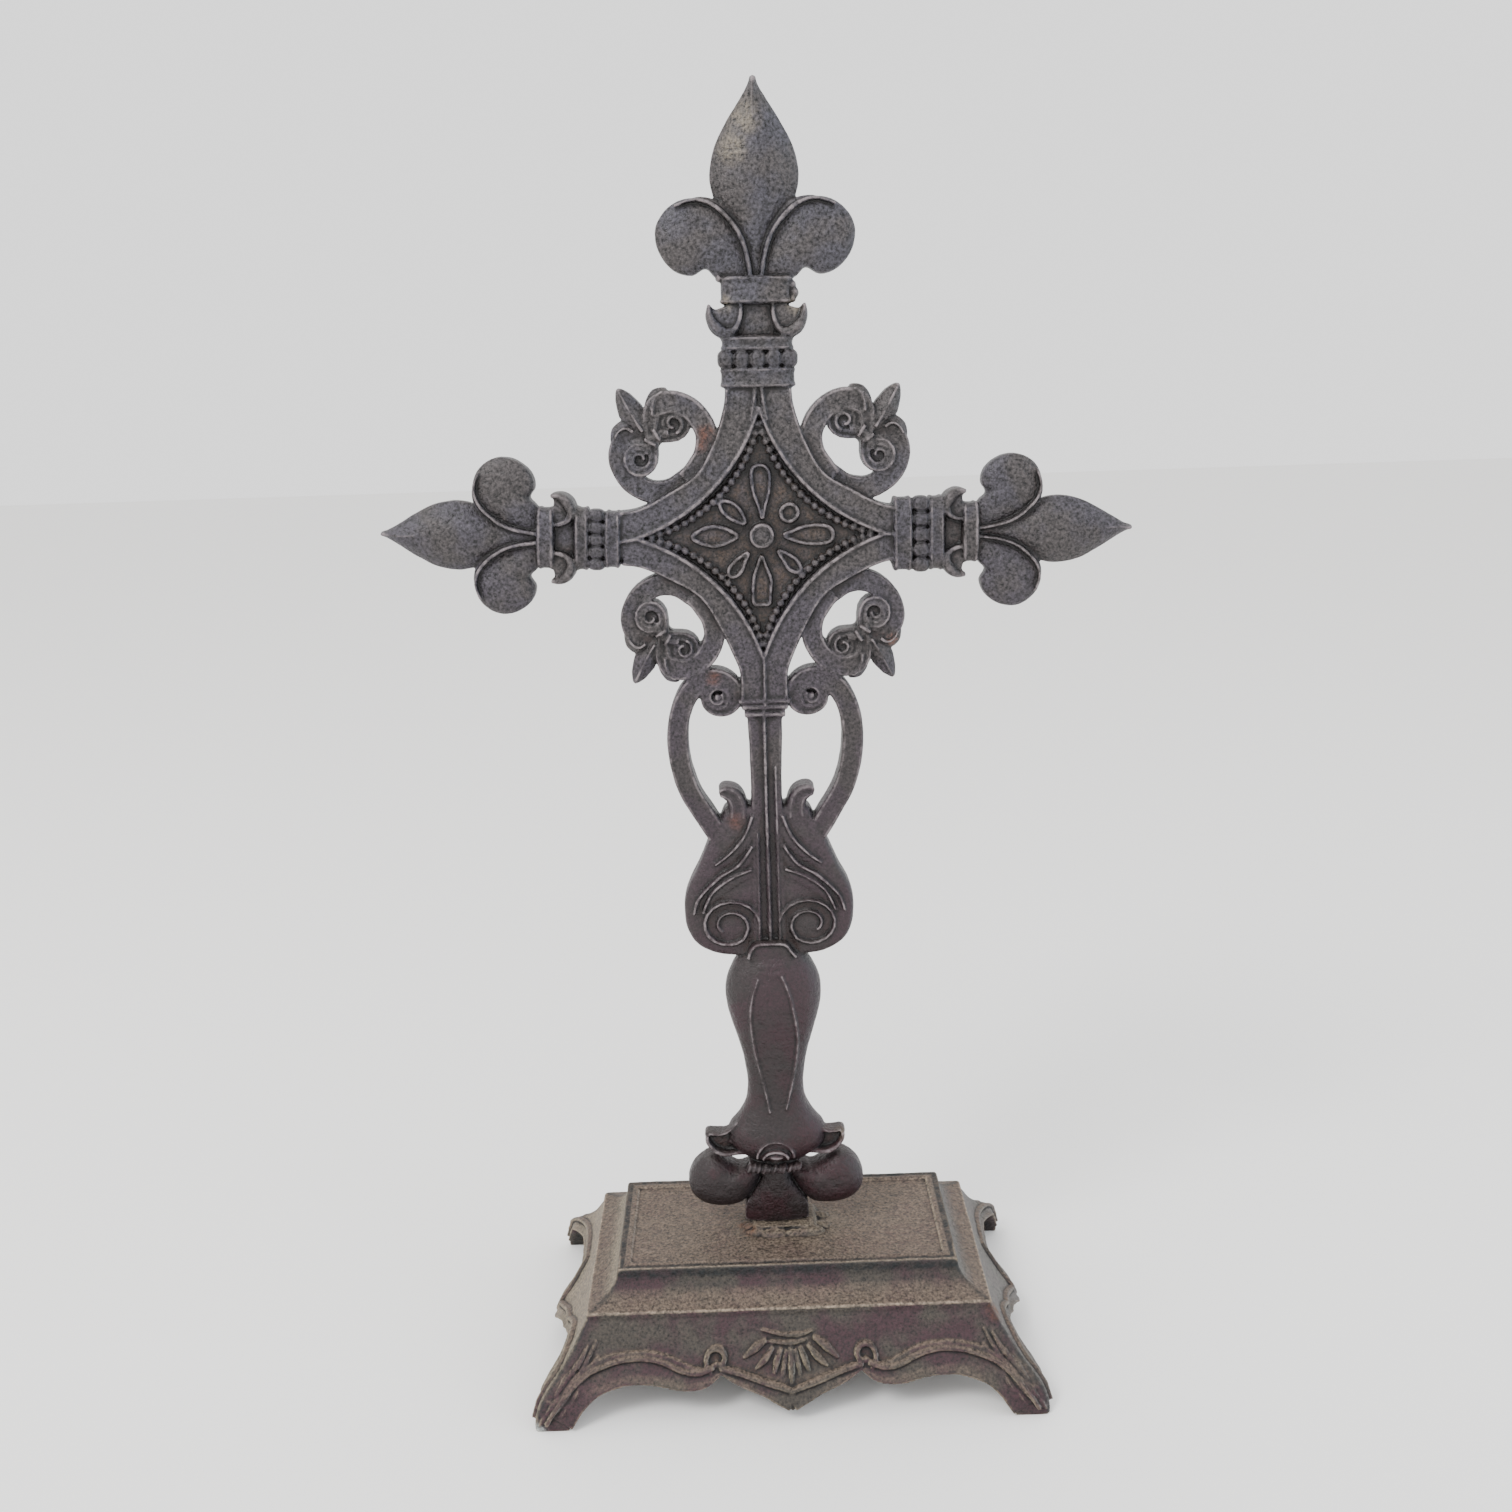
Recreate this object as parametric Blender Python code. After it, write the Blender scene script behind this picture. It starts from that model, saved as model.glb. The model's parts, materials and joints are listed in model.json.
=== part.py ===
import bpy
import bmesh
from math import atan, cos, hypot, pi, radians, sin

# Standing cross of cast iron on a four-footed hollow base.
# Sizes are millimetres, x to the right, y to the back, z up, measured from the base's centre.
MM = 0.001
WELD = 0.00002
CROSS_SHARE, BASE_SHARE = 0.56, 0.72

# Overall heights
CENTRE_Z = 276.8
FIELD_Z = 39.9
PIECE_GAP = 0.3

# The finished object is moved by this, so that its overall width is centred on x = 0
PLACE_X = 2.44

# The cross stands a little left of the middle of its base and leans back to the right as it rises
LEAN_FOOT, LEAN_REACH, LEAN_BEND = -2.6, 364.0, 1.6

# Casting depths, measured forward (towards the viewer) and back from the middle plane
STRAP_FRONT, STRAP_BACK, STRAP_CHAMFER = 4.0, 4.0, 1.5
FRAME_FRONT, FRAME_BACK = 4.8, 4.4
FIELD_DEPTH, BACK_FIELD_DEPTH = 1.9, 1.2
COLLAR_DEPTH = 6.4

# Four-point star: widths of its arms, waist of its concave sides, bead rows and rosette
STAR_TOP, STAR_SIDE, STAR_STEM = 43.9, 43.2, 52.0
STAR_TOP_HALF, STAR_SIDE_HALF, STAR_STEM_HALF = 9.9, 8.0, 7.4
STAR_WAIST = 19.2
FIELD_TIP, FIELD_WAIST = 37.5, 13.9
BEAD_TIP, BEAD_WAIST = 34.6, 12.3
BEADS_A_SIDE, BEAD_RADIUS = 19, 1.2
BOSS_RADIUS = 3.4
LONG_PETAL, LONG_PETAL_HALF = (4.6, 20.6), 2.7
SHORT_PETAL, SHORT_PETAL_HALF = (6.8, 15.6), 2.0

# Corner scrolls: centre from the star's centre, radii, eyes and leaves
SCROLL_X, SCROLL_Z = 28.6, 26.5
SCROLL_LOWER_WIDTH, SCROLL_LOWER_DROP = 0.965, 0.8
EYE_OUT, EYE_APART, EYE_RADIUS = 3.2, 7.3, 3.0
SCROLL_STRAP, SCROLL_TAIL = 3.3, 1.5

# Lyre bows, stem and leaves under the star
BOW_HALF = 3.35
STEM_LINE_Z, STEM_NECK_Z, STEM_FOOT_Z = 225.0, 220.5, 143.6
LEAF_FRONT, LEAF_BACK = 4.6, 4.2

# Arms: place, direction, then rings as (from, to, half width) along the arm
TOP_ARM = {
    "origin": (0.0, 320.5), "angle": 90.0, "beads": 4, "bead_row": (6.0, 11.0, 11.9),
    "rings": ((0.3, 6.0, 11.4), (11.0, 15.0, 10.9), (24.3, 32.0, 10.9)),
    "neck": 6.4, "horn": (14.6, 24.2, 15.1), "fleur": (32.0, 1.0, 1.02),
}
RIGHT_ARM = {
    "origin": (40.2, 276.2), "angle": 0.4, "beads": 5, "bead_row": (6.1, 11.1, 11.6),
    "rings": ((0.3, 5.9, 11.5), (11.1, 15.6, 11.5), (21.4, 26.2, 9.4)),
    "neck": 6.0, "horn": (15.2, 22.2, 13.6), "fleur": (26.9, 0.858, 0.812),
}
LEFT_ARM = {
    "origin": (-42.9, 276.4), "angle": 177.4, "beads": 5, "bead_row": (4.9, 9.8, 9.3),
    "rings": ((0.2, 4.8, 8.9), (9.8, 13.9, 9.8), (20.4, 25.4, 9.6)),
    "neck": 5.8, "horn": (13.8, 21.2, 13.9), "fleur": (25.9, 0.87, 0.83),
}
PETAL = ((0.0, 1.7), (4.5, 2.2), (9.5, 4.0), (15.5, 7.6), (21.5, 11.4), (28.0, 12.7),
         (35.5, 11.3), (42.0, 8.0), (48.0, 3.9), (53.4, 0.35))

# Baluster profile: height and half width, its shift to the right, then its raised panel
BALUSTER_SHIFT = 0.7
BALUSTER = ((144.2, 5.2), (141.5, 8.6), (139.0, 11.4), (135.0, 13.7), (130.5, 15.5),
            (125.5, 15.9), (119.5, 15.1), (112.0, 13.0), (104.0, 10.8), (96.0, 9.6),
            (90.5, 9.5), (86.0, 10.4), (81.0, 12.9), (76.0, 16.6), (70.5, 15.4), (64.6, 7.4))
PANEL = ((132.0, 3.2), (123.0, 6.0), (112.0, 7.6), (102.0, 7.1), (91.0, 4.5), (80.0, 2.6))
SHELL_Z, SHELL_RADIUS = 68.6, 6.8
ROPE_Z, ROPE_HALF = 63.8, 8.6

# Low seat on the plate that the cross stands on
SEAT_HALF_X, SEAT_FRONT, SEAT_BACK, SEAT_TOP = 11.2, 8.6, 7.6, 42.2

# Base: rim rectangle, then how far each height stands out from it
RIM_X, RIM_Y = 53.2, 24.7
RIM_WIDTH, CORNER = 1.1, 1.6
STEPS = ((0.0, 40.7), (0.9, 40.2), (2.5, 40.5), (3.1, 39.8), (3.1, 37.0), (4.4, 34.8),
         (7.0, 32.7), (10.4, 31.1), (12.0, 30.8), (12.9, 30.3), (12.9, 28.6))
FLARE = ((12.9, 28.6), (14.4, 26.0), (16.8, 21.8), (19.4, 18.2), (21.9, 14.8), (25.2, 11.3),
         (27.7, 7.6), (29.1, 3.2), (29.2, 0.0))
WALL, TOP_WALL = 3.0, 3.2
EDGE_STRIP, SIDE_STRIP, EDGE_RAISE = 1.8, 1.1, 0.6
# Lower edge of the aprons, half of each: distance from the middle and height, foot to pendant
FRONT_LEG = ((71.5, 0.0), (69.6, 4.2), (65.1, 10.0), (58.9, 13.5), (49.3, 14.6))
FRONT_BELLY = ((49.3, 14.6), (39.9, 13.2), (32.1, 11.7), (26.1, 12.3), (22.2, 14.3))
FRONT_DROP = ((22.2, 14.3), (17.3, 11.9), (8.0, 8.6), (3.1, 6.0), (0.0, 4.3))
SIDE_LEG = ((44.6, 0.0), (43.0, 4.6), (39.8, 9.8), (35.6, 14.0), (28.2, 17.0))
SIDE_BELLY = ((28.2, 17.0), (23.6, 15.6), (19.4, 13.6))
SIDE_DROP = ((19.4, 13.6), (13.6, 12.2), (8.0, 9.6), (3.4, 6.9), (0.0, 5.6))


# Curves

def catmull(points, steps, closed=False):
    """Smooth curve through the points, with the given number of steps between each two."""
    n = len(points)
    spans = n if closed else n - 1
    out = []
    for i in range(spans):
        p1, p2 = points[i], points[(i + 1) % n]
        p0 = points[i - 1] if closed or i > 0 else p1
        p3 = points[(i + 2) % n] if closed or i + 2 < n else p2
        for k in range(steps):
            t = k / steps
            out.append(tuple(
                0.5 * (2 * b + (c - a) * t + (2 * a - 5 * b + 4 * c - d) * t * t
                       + (3 * b - a - 3 * c + d) * t ** 3)
                for a, b, c, d in zip(p0, p1, p2, p3)))
    if not closed:
        out.append(tuple(points[-1]))
    return out


def arc(centre, radius, start, end, steps):
    """Points on an arc, angles in degrees."""
    return [(centre[0] + radius * cos(radians(start + (end - start) * k / steps)),
             centre[1] + radius * sin(radians(start + (end - start) * k / steps)))
            for k in range(steps + 1)]


def frame_at(origin, angle):
    """Turns along-and-across sizes of an arm into x and z."""
    c, s = cos(radians(angle)), sin(radians(angle))
    return lambda u, v: (origin[0] + u * c - v * s, origin[1] + u * s + v * c)


def diagonal(sx, sz, width=1.0, drop=0.0):
    """Local frame of a corner scroll: s outward on the diagonal, t across it."""
    r = 0.5 ** 0.5
    return lambda s, t: (sx * width * (SCROLL_X + (s + t) * r),
                         CENTRE_Z + sz * (SCROLL_Z + (s - t) * r) - drop)


# Solids

def solid(name, verts, faces):
    mesh = bpy.data.meshes.new(name)
    mesh.from_pydata([(x * MM, y * MM, z * MM) for x, y, z in verts], [], faces)
    bm = bmesh.new()
    bm.from_mesh(mesh)
    bmesh.ops.recalc_face_normals(bm, faces=bm.faces)
    bm.to_mesh(mesh)
    bm.free()
    obj = bpy.data.objects.new(name, mesh)
    bpy.context.scene.collection.objects.link(obj)
    return obj


def loft(name, rings):
    """Closed solid through rings of equal count, ends filled."""
    n = len(rings[0])
    verts = [p for ring in rings for p in ring]
    faces = [tuple(range(n)), tuple(range(len(verts) - n, len(verts)))]
    for r in range(len(rings) - 1):
        for i in range(n):
            j = (i + 1) % n
            faces.append((r * n + i, r * n + j, (r + 1) * n + j, (r + 1) * n + i))
    return solid(name, verts, faces)


def sweep(name, path, halves, section):
    """Carries a section along a path in the x-z plane; half widths may change on the way."""
    rings = []
    last = len(path) - 1
    for i, (x, z) in enumerate(path):
        ax, az = path[max(i - 1, 0)]
        bx, bz = path[min(i + 1, last)]
        length = hypot(bx - ax, bz - az)
        nx, nz = -(bz - az) / length, (bx - ax) / length
        rings.append([(x + nx * a, -d, z + nz * a) for a, d in section(halves[i])])
    return loft(name, rings)


def strap_section(front=STRAP_FRONT, back=STRAP_BACK, chamfer=STRAP_CHAMFER):
    """Flat strap with its front edges broken."""
    def section(h):
        c = min(chamfer, 0.55 * h)
        return ((-h, -back), (h, -back), (h, front - c), (h - c, front), (c - h, front), (-h, front - c))
    return section


def round_section(crown, edge, back):
    """Domed strap: two edges, a raised middle and a flat back."""
    return lambda h: ((-h, -back), (h, -back), (h, edge), (0.5 * h, edge + crown * h),
                      (-0.5 * h, edge + crown * h), (-h, edge))


def ridge_section(crown, edge, back):
    """Leaf or rib that rises from both edges to a middle ridge."""
    return lambda h: ((-h, -back), (h, -back), (h, edge), (0.0, edge + crown * h), (-h, edge))


def plate(name, outline, front, back, chamfer=0.0):
    """Flat plate from an outline, its front edge broken by the chamfer."""
    n = len(outline)
    rings = [[(x, back, z) for x, z in outline]]
    if chamfer:
        area = sum(outline[i - 1][0] * outline[i][1] - outline[i][0] * outline[i - 1][1]
                   for i in range(n))
        side = 1.0 if area > 0 else -1.0
        rings.append([(x, chamfer - front, z) for x, z in outline])
        inner = []
        for i, (x, z) in enumerate(outline):
            ax, az = outline[i - 1]
            bx, bz = outline[(i + 1) % n]
            length = hypot(bx - ax, bz - az)
            inner.append((x - side * (bz - az) / length * chamfer, -front,
                          z + side * (bx - ax) / length * chamfer))
        rings.append(inner)
    else:
        rings.append([(x, -front, z) for x, z in outline])
    return loft(name, rings)


def pillow(name, outline, centre, edge, crown, back_crown):
    """Domed lobe: its outline, drawn in towards a centre as the front and the back rise."""
    cx, cz = centre

    def ring(scale, y):
        return [(cx + (x - cx) * scale, y, cz + (z - cz) * scale) for x, z in outline]

    return loft(name, [ring(0.62, edge + back_crown), ring(1.0, edge), ring(1.0, -edge),
                       ring(0.84, -edge - 0.65 * crown), ring(0.42, -edge - crown)])


def dome(name, x, z, radius, front, height, back, segments=7):
    """Round boss: straight side from the back to the front, then a slope to a small flat."""
    rings = []
    for scale, y in ((1.0, back), (1.0, -front), (0.55, -front - height)):
        rings.append([(x + radius * scale * cos(2 * pi * k / segments), y,
                       z + radius * scale * sin(2 * pi * k / segments)) for k in range(segments)])
    return loft(name, rings)


def warp(obj, mapping):
    """Moves every corner of a form by a mapping given in millimetres."""
    bm = bmesh.new()
    bm.from_mesh(obj.data)
    for vertex in bm.verts:
        vertex.co = [c * MM for c in mapping(*(c / MM for c in vertex.co))]
    bmesh.ops.recalc_face_normals(bm, faces=bm.faces)
    bm.to_mesh(obj.data)
    bm.free()
    return obj


def unite(name, parts):
    """Joins all parts into one body."""
    group = bpy.data.collections.new(name + "_parts")
    body = parts[0]
    for part in parts[1:]:
        bpy.context.scene.collection.objects.unlink(part)
        group.objects.link(part)
    boolean(body, "UNION", group)
    for part in parts[1:]:
        bpy.data.objects.remove(part)
    bpy.data.collections.remove(group)
    return body


def cut(body, cutters):
    """Takes the cutters out of the body."""
    group = bpy.data.collections.new(body.name + "_cutters")
    for cutter in cutters:
        bpy.context.scene.collection.objects.unlink(cutter)
        group.objects.link(cutter)
    boolean(body, "DIFFERENCE", group)
    for cutter in cutters:
        bpy.data.objects.remove(cutter)
    bpy.data.collections.remove(group)
    return body


def boolean(body, operation, group):
    modifier = body.modifiers.new(operation.title(), "BOOLEAN")
    modifier.operation = operation
    modifier.operand_type = "COLLECTION"
    modifier.collection = group
    modifier.solver = "EXACT"
    modifier.use_self = True
    bpy.context.view_layer.update()
    depsgraph = bpy.context.evaluated_depsgraph_get()
    mesh = bpy.data.meshes.new_from_object(body.evaluated_get(depsgraph))
    body.modifiers.clear()
    body.data = mesh


def lighten(obj, share, kept=lambda x, y, z: False):
    """Merges flat neighbours, then collapses the shortest edges outside the kept zone."""
    bm = bmesh.new()
    bm.from_mesh(obj.data)
    bmesh.ops.remove_doubles(bm, verts=bm.verts, dist=WELD)
    bmesh.ops.dissolve_limit(bm, angle_limit=radians(0.6), verts=bm.verts, edges=bm.edges)
    bmesh.ops.triangulate(bm, faces=bm.faces)
    bm.to_mesh(obj.data)
    bm.free()
    loose = obj.vertex_groups.new(name="loose")
    loose.add([v.index for v in obj.data.vertices if not kept(*(c / MM for c in v.co))], 1.0, "REPLACE")
    modifier = obj.modifiers.new("Lighten", "DECIMATE")
    modifier.ratio = share
    modifier.vertex_group = loose.name
    return obj


def on_field(x, y, z):
    """The rosette on the sunk field, too fine to be lightened."""
    return y < 0 and abs(x) + abs(z - CENTRE_Z) < 24.0


# Star with its field, beads and rosette

def star_outline():
    """Concave four-point star, one curve to each quarter, running on into the arms."""
    w = STAR_WAIST
    upper = ((STAR_TOP_HALF, STAR_TOP), (STAR_TOP_HALF + 0.6, 38.5), (13.4, 29.6), (w, w),
             (28.6, 13.2), (37.0, 9.0), (STAR_SIDE, STAR_SIDE_HALF))
    lower = ((STAR_SIDE, STAR_SIDE_HALF), (37.0, 9.0), (28.6, 12.8), (w, 18.8), (13.0, 29.0),
             (9.4, 37.0), (STAR_STEM_HALF, 43.0), (STAR_STEM_HALF, STAR_STEM))
    right = ([(x, CENTRE_Z + z) for x, z in catmull(upper, 2)]
             + [(x, CENTRE_Z - z) for x, z in catmull(lower, 2)[1:]])
    return right + [(-x, z) for x, z in reversed(right)]


def concave_side(tip, waist, steps):
    """Arc from the upper tip to the right tip of a star, hollow side outward."""
    middle = (tip * tip - 2 * waist * waist) / (2 * tip - 4 * waist)
    lean = 180 / pi * atan((middle - tip) / middle)
    return arc((middle, middle), hypot(middle, middle - tip), 180 + lean, 270 - lean, steps)


def star_of(tip, waist, steps):
    """Closed star made of four concave sides."""
    side = concave_side(tip, waist, steps)
    points = []
    for sx, sz, order in ((1, 1, 1), (1, -1, -1), (-1, -1, 1), (-1, 1, -1)):
        points += [(sx * x, CENTRE_Z + sz * z) for x, z in side[::order][:-1]]
    return points


def bead_strings():
    """Rows of beads along the four concave sides, each row one string of double cones."""
    floor = FRAME_FRONT - FIELD_DEPTH
    side = concave_side(BEAD_TIP, BEAD_WAIST, 2 * BEADS_A_SIDE)
    halves = [BEAD_RADIUS * (1.0 if i % 2 else 0.55) for i in range(len(side))]

    def section(h):
        return ((-h, floor - 0.4), (h, floor - 0.4), (0.0, floor + 1.5 * h))

    return [sweep("beads", [(sx * x, CENTRE_Z + sz * z) for x, z in side], halves, section)
            for sx in (1, -1) for sz in (1, -1)]


def rosette():
    """Eight petals about a boss on the sunk field."""
    floor = FRAME_FRONT - FIELD_DEPTH
    parts = [dome("boss", 0.0, CENTRE_Z, BOSS_RADIUS, floor + 0.9, 1.3, 1.0 - floor, 10)]
    for k in range(8):
        reach, half = (SHORT_PETAL, SHORT_PETAL_HALF) if k % 2 else (LONG_PETAL, LONG_PETAL_HALF)
        c, s = cos(pi / 4 * k), sin(pi / 4 * k)
        stations = ((0.0, 0.12), (0.36, 0.8), (0.72, 1.0), (1.0, 0.35))
        path = []
        for part, _ in stations:
            r = reach[0] + (reach[1] - reach[0]) * part
            path.append((r * c, CENTRE_Z + r * s))
        section = ridge_section(0.5, floor + 0.5, 1.0 - floor)
        parts.append(sweep("petal", path, [half * share for _, share in stations], section))
    return parts


def star():
    """Frame of the star with a sunk field in front and a plainer one behind."""
    body = plate("star", star_outline(), FRAME_FRONT, FRAME_BACK, STRAP_CHAMFER)
    front = plate("field", star_of(FIELD_TIP, FIELD_WAIST, 6), FRAME_FRONT + 1.0,
                  FIELD_DEPTH - FRAME_FRONT)
    back = plate("field", star_of(FIELD_TIP - 4.0, FIELD_WAIST - 1.6, 5),
                 BACK_FIELD_DEPTH - FRAME_BACK, FRAME_BACK + 1.0)
    return cut(body, [front, back])


# Corner scrolls

def corner_scroll(place):
    """C-scroll whose two straps cross on the diagonal and curl into each other's eye."""
    parts = []
    loop = ((-11.7, 1.2), (-10.2, -7.0), (-5.4, -12.4), (1.4, -14.0), (7.2, -12.1), (10.0, -8.3),
            (9.6, -4.4), (6.0, -0.8), (1.9, 2.6))
    eye_s, eye_t = EYE_OUT, EYE_APART
    tail = [(eye_s + 3.7 * cos(a), eye_t + 3.7 * sin(a))
            for a in (radians(-160 - 58 * k) for k in range(5))]
    for sign, depth in ((1, 0.15), (-1, -0.2)):
        path = catmull(loop[:6], 2)[:-1] + list(loop[5:]) + tail
        taper = (2.6, 2.2, 1.8, SCROLL_TAIL)
        halves = [SCROLL_STRAP] * 10 + list(taper) + [SCROLL_TAIL - 0.12 * k for k in range(len(tail))]
        path = [place(s, sign * t) for s, t in path]
        parts.append(sweep("scroll", path, halves,
                           strap_section(STRAP_FRONT + depth, STRAP_BACK + depth, 1.3)))
        x, z = place(eye_s, sign * eye_t)
        parts.append(dome("eye", x, z, EYE_RADIUS, STRAP_FRONT - 0.9, 1.5, STRAP_BACK - 0.7))
    web = ((1.9, 0.0), (0.9, -3.2), (0.2, -8.0), (2.4, -11.6), (6.0, -12.6), (10.0, -9.0),
           (11.2, -4.0), (11.2, 4.0), (10.0, 9.0), (6.0, 12.6), (2.4, 11.6), (0.2, 8.0), (0.9, 3.2))
    parts.append(plate("web", [place(s, t) for s, t in web], STRAP_FRONT - 1.6, STRAP_BACK - 1.1))
    # Pointed leaf over the crossing, a rounded leaf to each side of it
    parts.append(leaf("leaf", place, ((6.4, 0.9), (10.6, 0.2), (15.2, -1.0), (19.4, -2.3), (22.2, -3.1)),
                      (1.6, 3.3, 3.7, 2.4, 0.35), STRAP_FRONT - 0.4))
    parts.append(leaf("leaf", place, ((7.6, -3.0), (11.2, -6.8), (12.3, -10.2), (11.4, -13.0)),
                      (1.6, 2.4, 2.1, 0.7), STRAP_FRONT - 0.9))
    parts.append(leaf("leaf", place, ((8.2, 2.6), (12.4, 3.4), (13.3, 6.4), (12.0, 9.8)),
                      (1.6, 2.4, 2.1, 0.7), STRAP_FRONT - 0.7))
    return parts


def leaf(name, place, path, halves, edge):
    """Small domed leaf along a path of local points."""
    return sweep(name, [place(s, t) for s, t in path], halves, ridge_section(0.45, edge, edge))


# Arms

def arm(sizes):
    """Moulded collar with bead row and horned leaves, then the fleur at the end of an arm."""
    place = frame_at(sizes["origin"], sizes["angle"])
    parts = [collar(place, sizes)]
    start, end, half = sizes["bead_row"]
    pitch = 2 * half / sizes["beads"]
    for k in range(sizes["beads"]):
        x, z = place((start + end) / 2, -half + pitch * (k + 0.5))
        parts.append(dome("bead", x, z, (end - start) / 2 - 0.1, COLLAR_DEPTH - 1.6, 1.7, 0.0, 6))
    start, end, reach = sizes["horn"]
    length = end - start
    horn = ((1.02, 0.30), (0.35, 0.33), (-0.04, 0.62), (0.16, 0.88), (0.6, 1.0), (1.0, 0.94),
            (0.84, 0.82), (0.98, 0.62))
    for side in (1, -1):
        outline = [place(start + length * u, side * reach * v) for u, v in horn]
        centre = place(start + length * 0.42, side * reach * 0.68)
        parts.append(pillow("horn", outline, centre, COLLAR_DEPTH - 2.4, 1.5, 1.2))
    parts += fleur(place, *sizes["fleur"])
    return parts


def collar(place, sizes):
    """Rings, bead row and neck of a collar as one rounded-square turning."""
    stations = [(-2.2, 5.0, 3.6)]

    def ring(start, end, half, depth):
        step = 0.22 * (end - start)
        stations.extend(((start, half - 1.3, depth - 1.3), (start + step, half, depth),
                         (end - step, half, depth), (end, half - 1.3, depth - 1.3)))

    first, second, third = sizes["rings"]
    row_start, row_end, row_half = sizes["bead_row"]
    ring(*first, COLLAR_DEPTH)
    stations.append((row_start + 0.4, row_half - 0.9, COLLAR_DEPTH - 1.5))
    stations.append((row_end - 0.4, row_half - 0.9, COLLAR_DEPTH - 1.5))
    ring(*second, COLLAR_DEPTH)
    stations.append((second[1] + 0.5, sizes["neck"], COLLAR_DEPTH - 1.9))
    stations.append((third[0] - 0.3, sizes["neck"], COLLAR_DEPTH - 1.9))
    ring(*third, COLLAR_DEPTH - 0.2)
    rings = []
    for u, half, depth in stations:
        corner = 1.6
        outline = ((half, depth - corner), (half - corner, depth), (corner - half, depth),
                   (-half, depth - corner), (-half, corner - depth), (corner - half, -depth),
                   (half - corner, -depth), (half, corner - depth))
        loop = []
        for v, d in outline:
            x, z = place(u, v)
            loop.append((x, -d, z))
        rings.append(loop)
    return loft("collar", rings)


def fleur(place, start, along, across):
    """Ogee petal between two rounded lobes."""
    base = start - 1.5
    path = [place(start + along * u, 0.0) for u, _ in PETAL]
    path[0] = place(base, 0.0)
    halves = [across * h for _, h in PETAL]

    def section(h):
        crown = 0.55 + 0.19 * h
        return ((-h, -1.7), (0.0, -1.7 - crown), (h, -1.7), (h, 1.9), (0.5 * h, 1.9 + 0.85 * crown),
                (0.0, 2.0 + 1.1 * crown), (-0.5 * h, 1.9 + 0.85 * crown), (-h, 1.9))

    parts = [sweep("petal", path, halves, section)]
    lobe = ((-1.2, 1.2), (8.0, 3.4), (15.6, 7.0), (20.8, 12.4), (22.1, 18.6), (19.6, 24.8),
            (14.0, 28.5), (7.6, 28.0), (2.2, 24.0), (0.5, 18.6), (2.4, 14.4), (-0.6, 10.6))
    for side in (1, -1):
        outline = [place(start + along * u, side * across * v) for u, v in lobe]
        centre = place(start + along * 10.8, side * across * 17.2)
        parts.append(pillow("lobe", outline, centre, 2.1, 2.3, 1.5))
    return parts


# Stem, lyre and leaves

def stem():
    halves = ((STEM_LINE_Z + 3.0, STAR_STEM_HALF), (STEM_LINE_Z, STAR_STEM_HALF + 0.2),
              (STEM_NECK_Z, 5.5), (200.0, 4.9), (160.0, 5.3), (STEM_FOOT_Z - 3.0, 5.6))
    path = [(0.0, z) for z, _ in halves]
    shaft = sweep("stem", path, [h for _, h in halves], strap_section(4.5, 4.1, 1.9))
    line = sweep("line", [(-STAR_STEM_HALF - 0.6, STEM_LINE_Z), (STAR_STEM_HALF + 0.6, STEM_LINE_Z)],
                 [0.8, 0.8], lambda h: ((-h, -4.9), (h, -4.9), (0.5 * h, 5.5), (-0.5 * h, 5.5)))
    rib = sweep("rib", [(0.0, CENTRE_Z - FIELD_TIP - 0.6), (0.0, STEM_FOOT_Z)], [0.9, 0.9],
                lambda h: ((-h, 3.0), (h, 3.0), (0.0, 5.7)))
    return [shaft, line, rib]


def lyre(side):
    """Bow that leaves the leaf, swells out and curls in at the top."""
    bow = ((15.9, 181.2), (20.2, 188.4), (24.3, 195.6), (26.7, 203.2), (27.7, 211.4), (27.0, 220.0),
           (23.9, 227.6), (18.8, 232.0), (13.8, 232.3), (10.0, 229.6), (9.2, 225.6))
    turn = ((11.5, 222.8), (15.2, 222.3), (18.4, 224.6), (18.8, 228.0))
    path = list(bow[:5]) + catmull(bow[5:], 2) + list(turn)
    count = len(path) - len(turn)
    halves = [BOW_HALF - 0.2 * max(0, i - 9) for i in range(count)]
    halves += [1.9, 1.7, 1.4, 1.0]
    parts = [sweep("bow", [(side * x, z) for x, z in path], halves, strap_section(4.05, 3.8, 1.4)),
             dome("eye", side * 14.9, 226.3, 3.3, 2.9, 1.6, 3.2)]
    return parts


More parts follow.
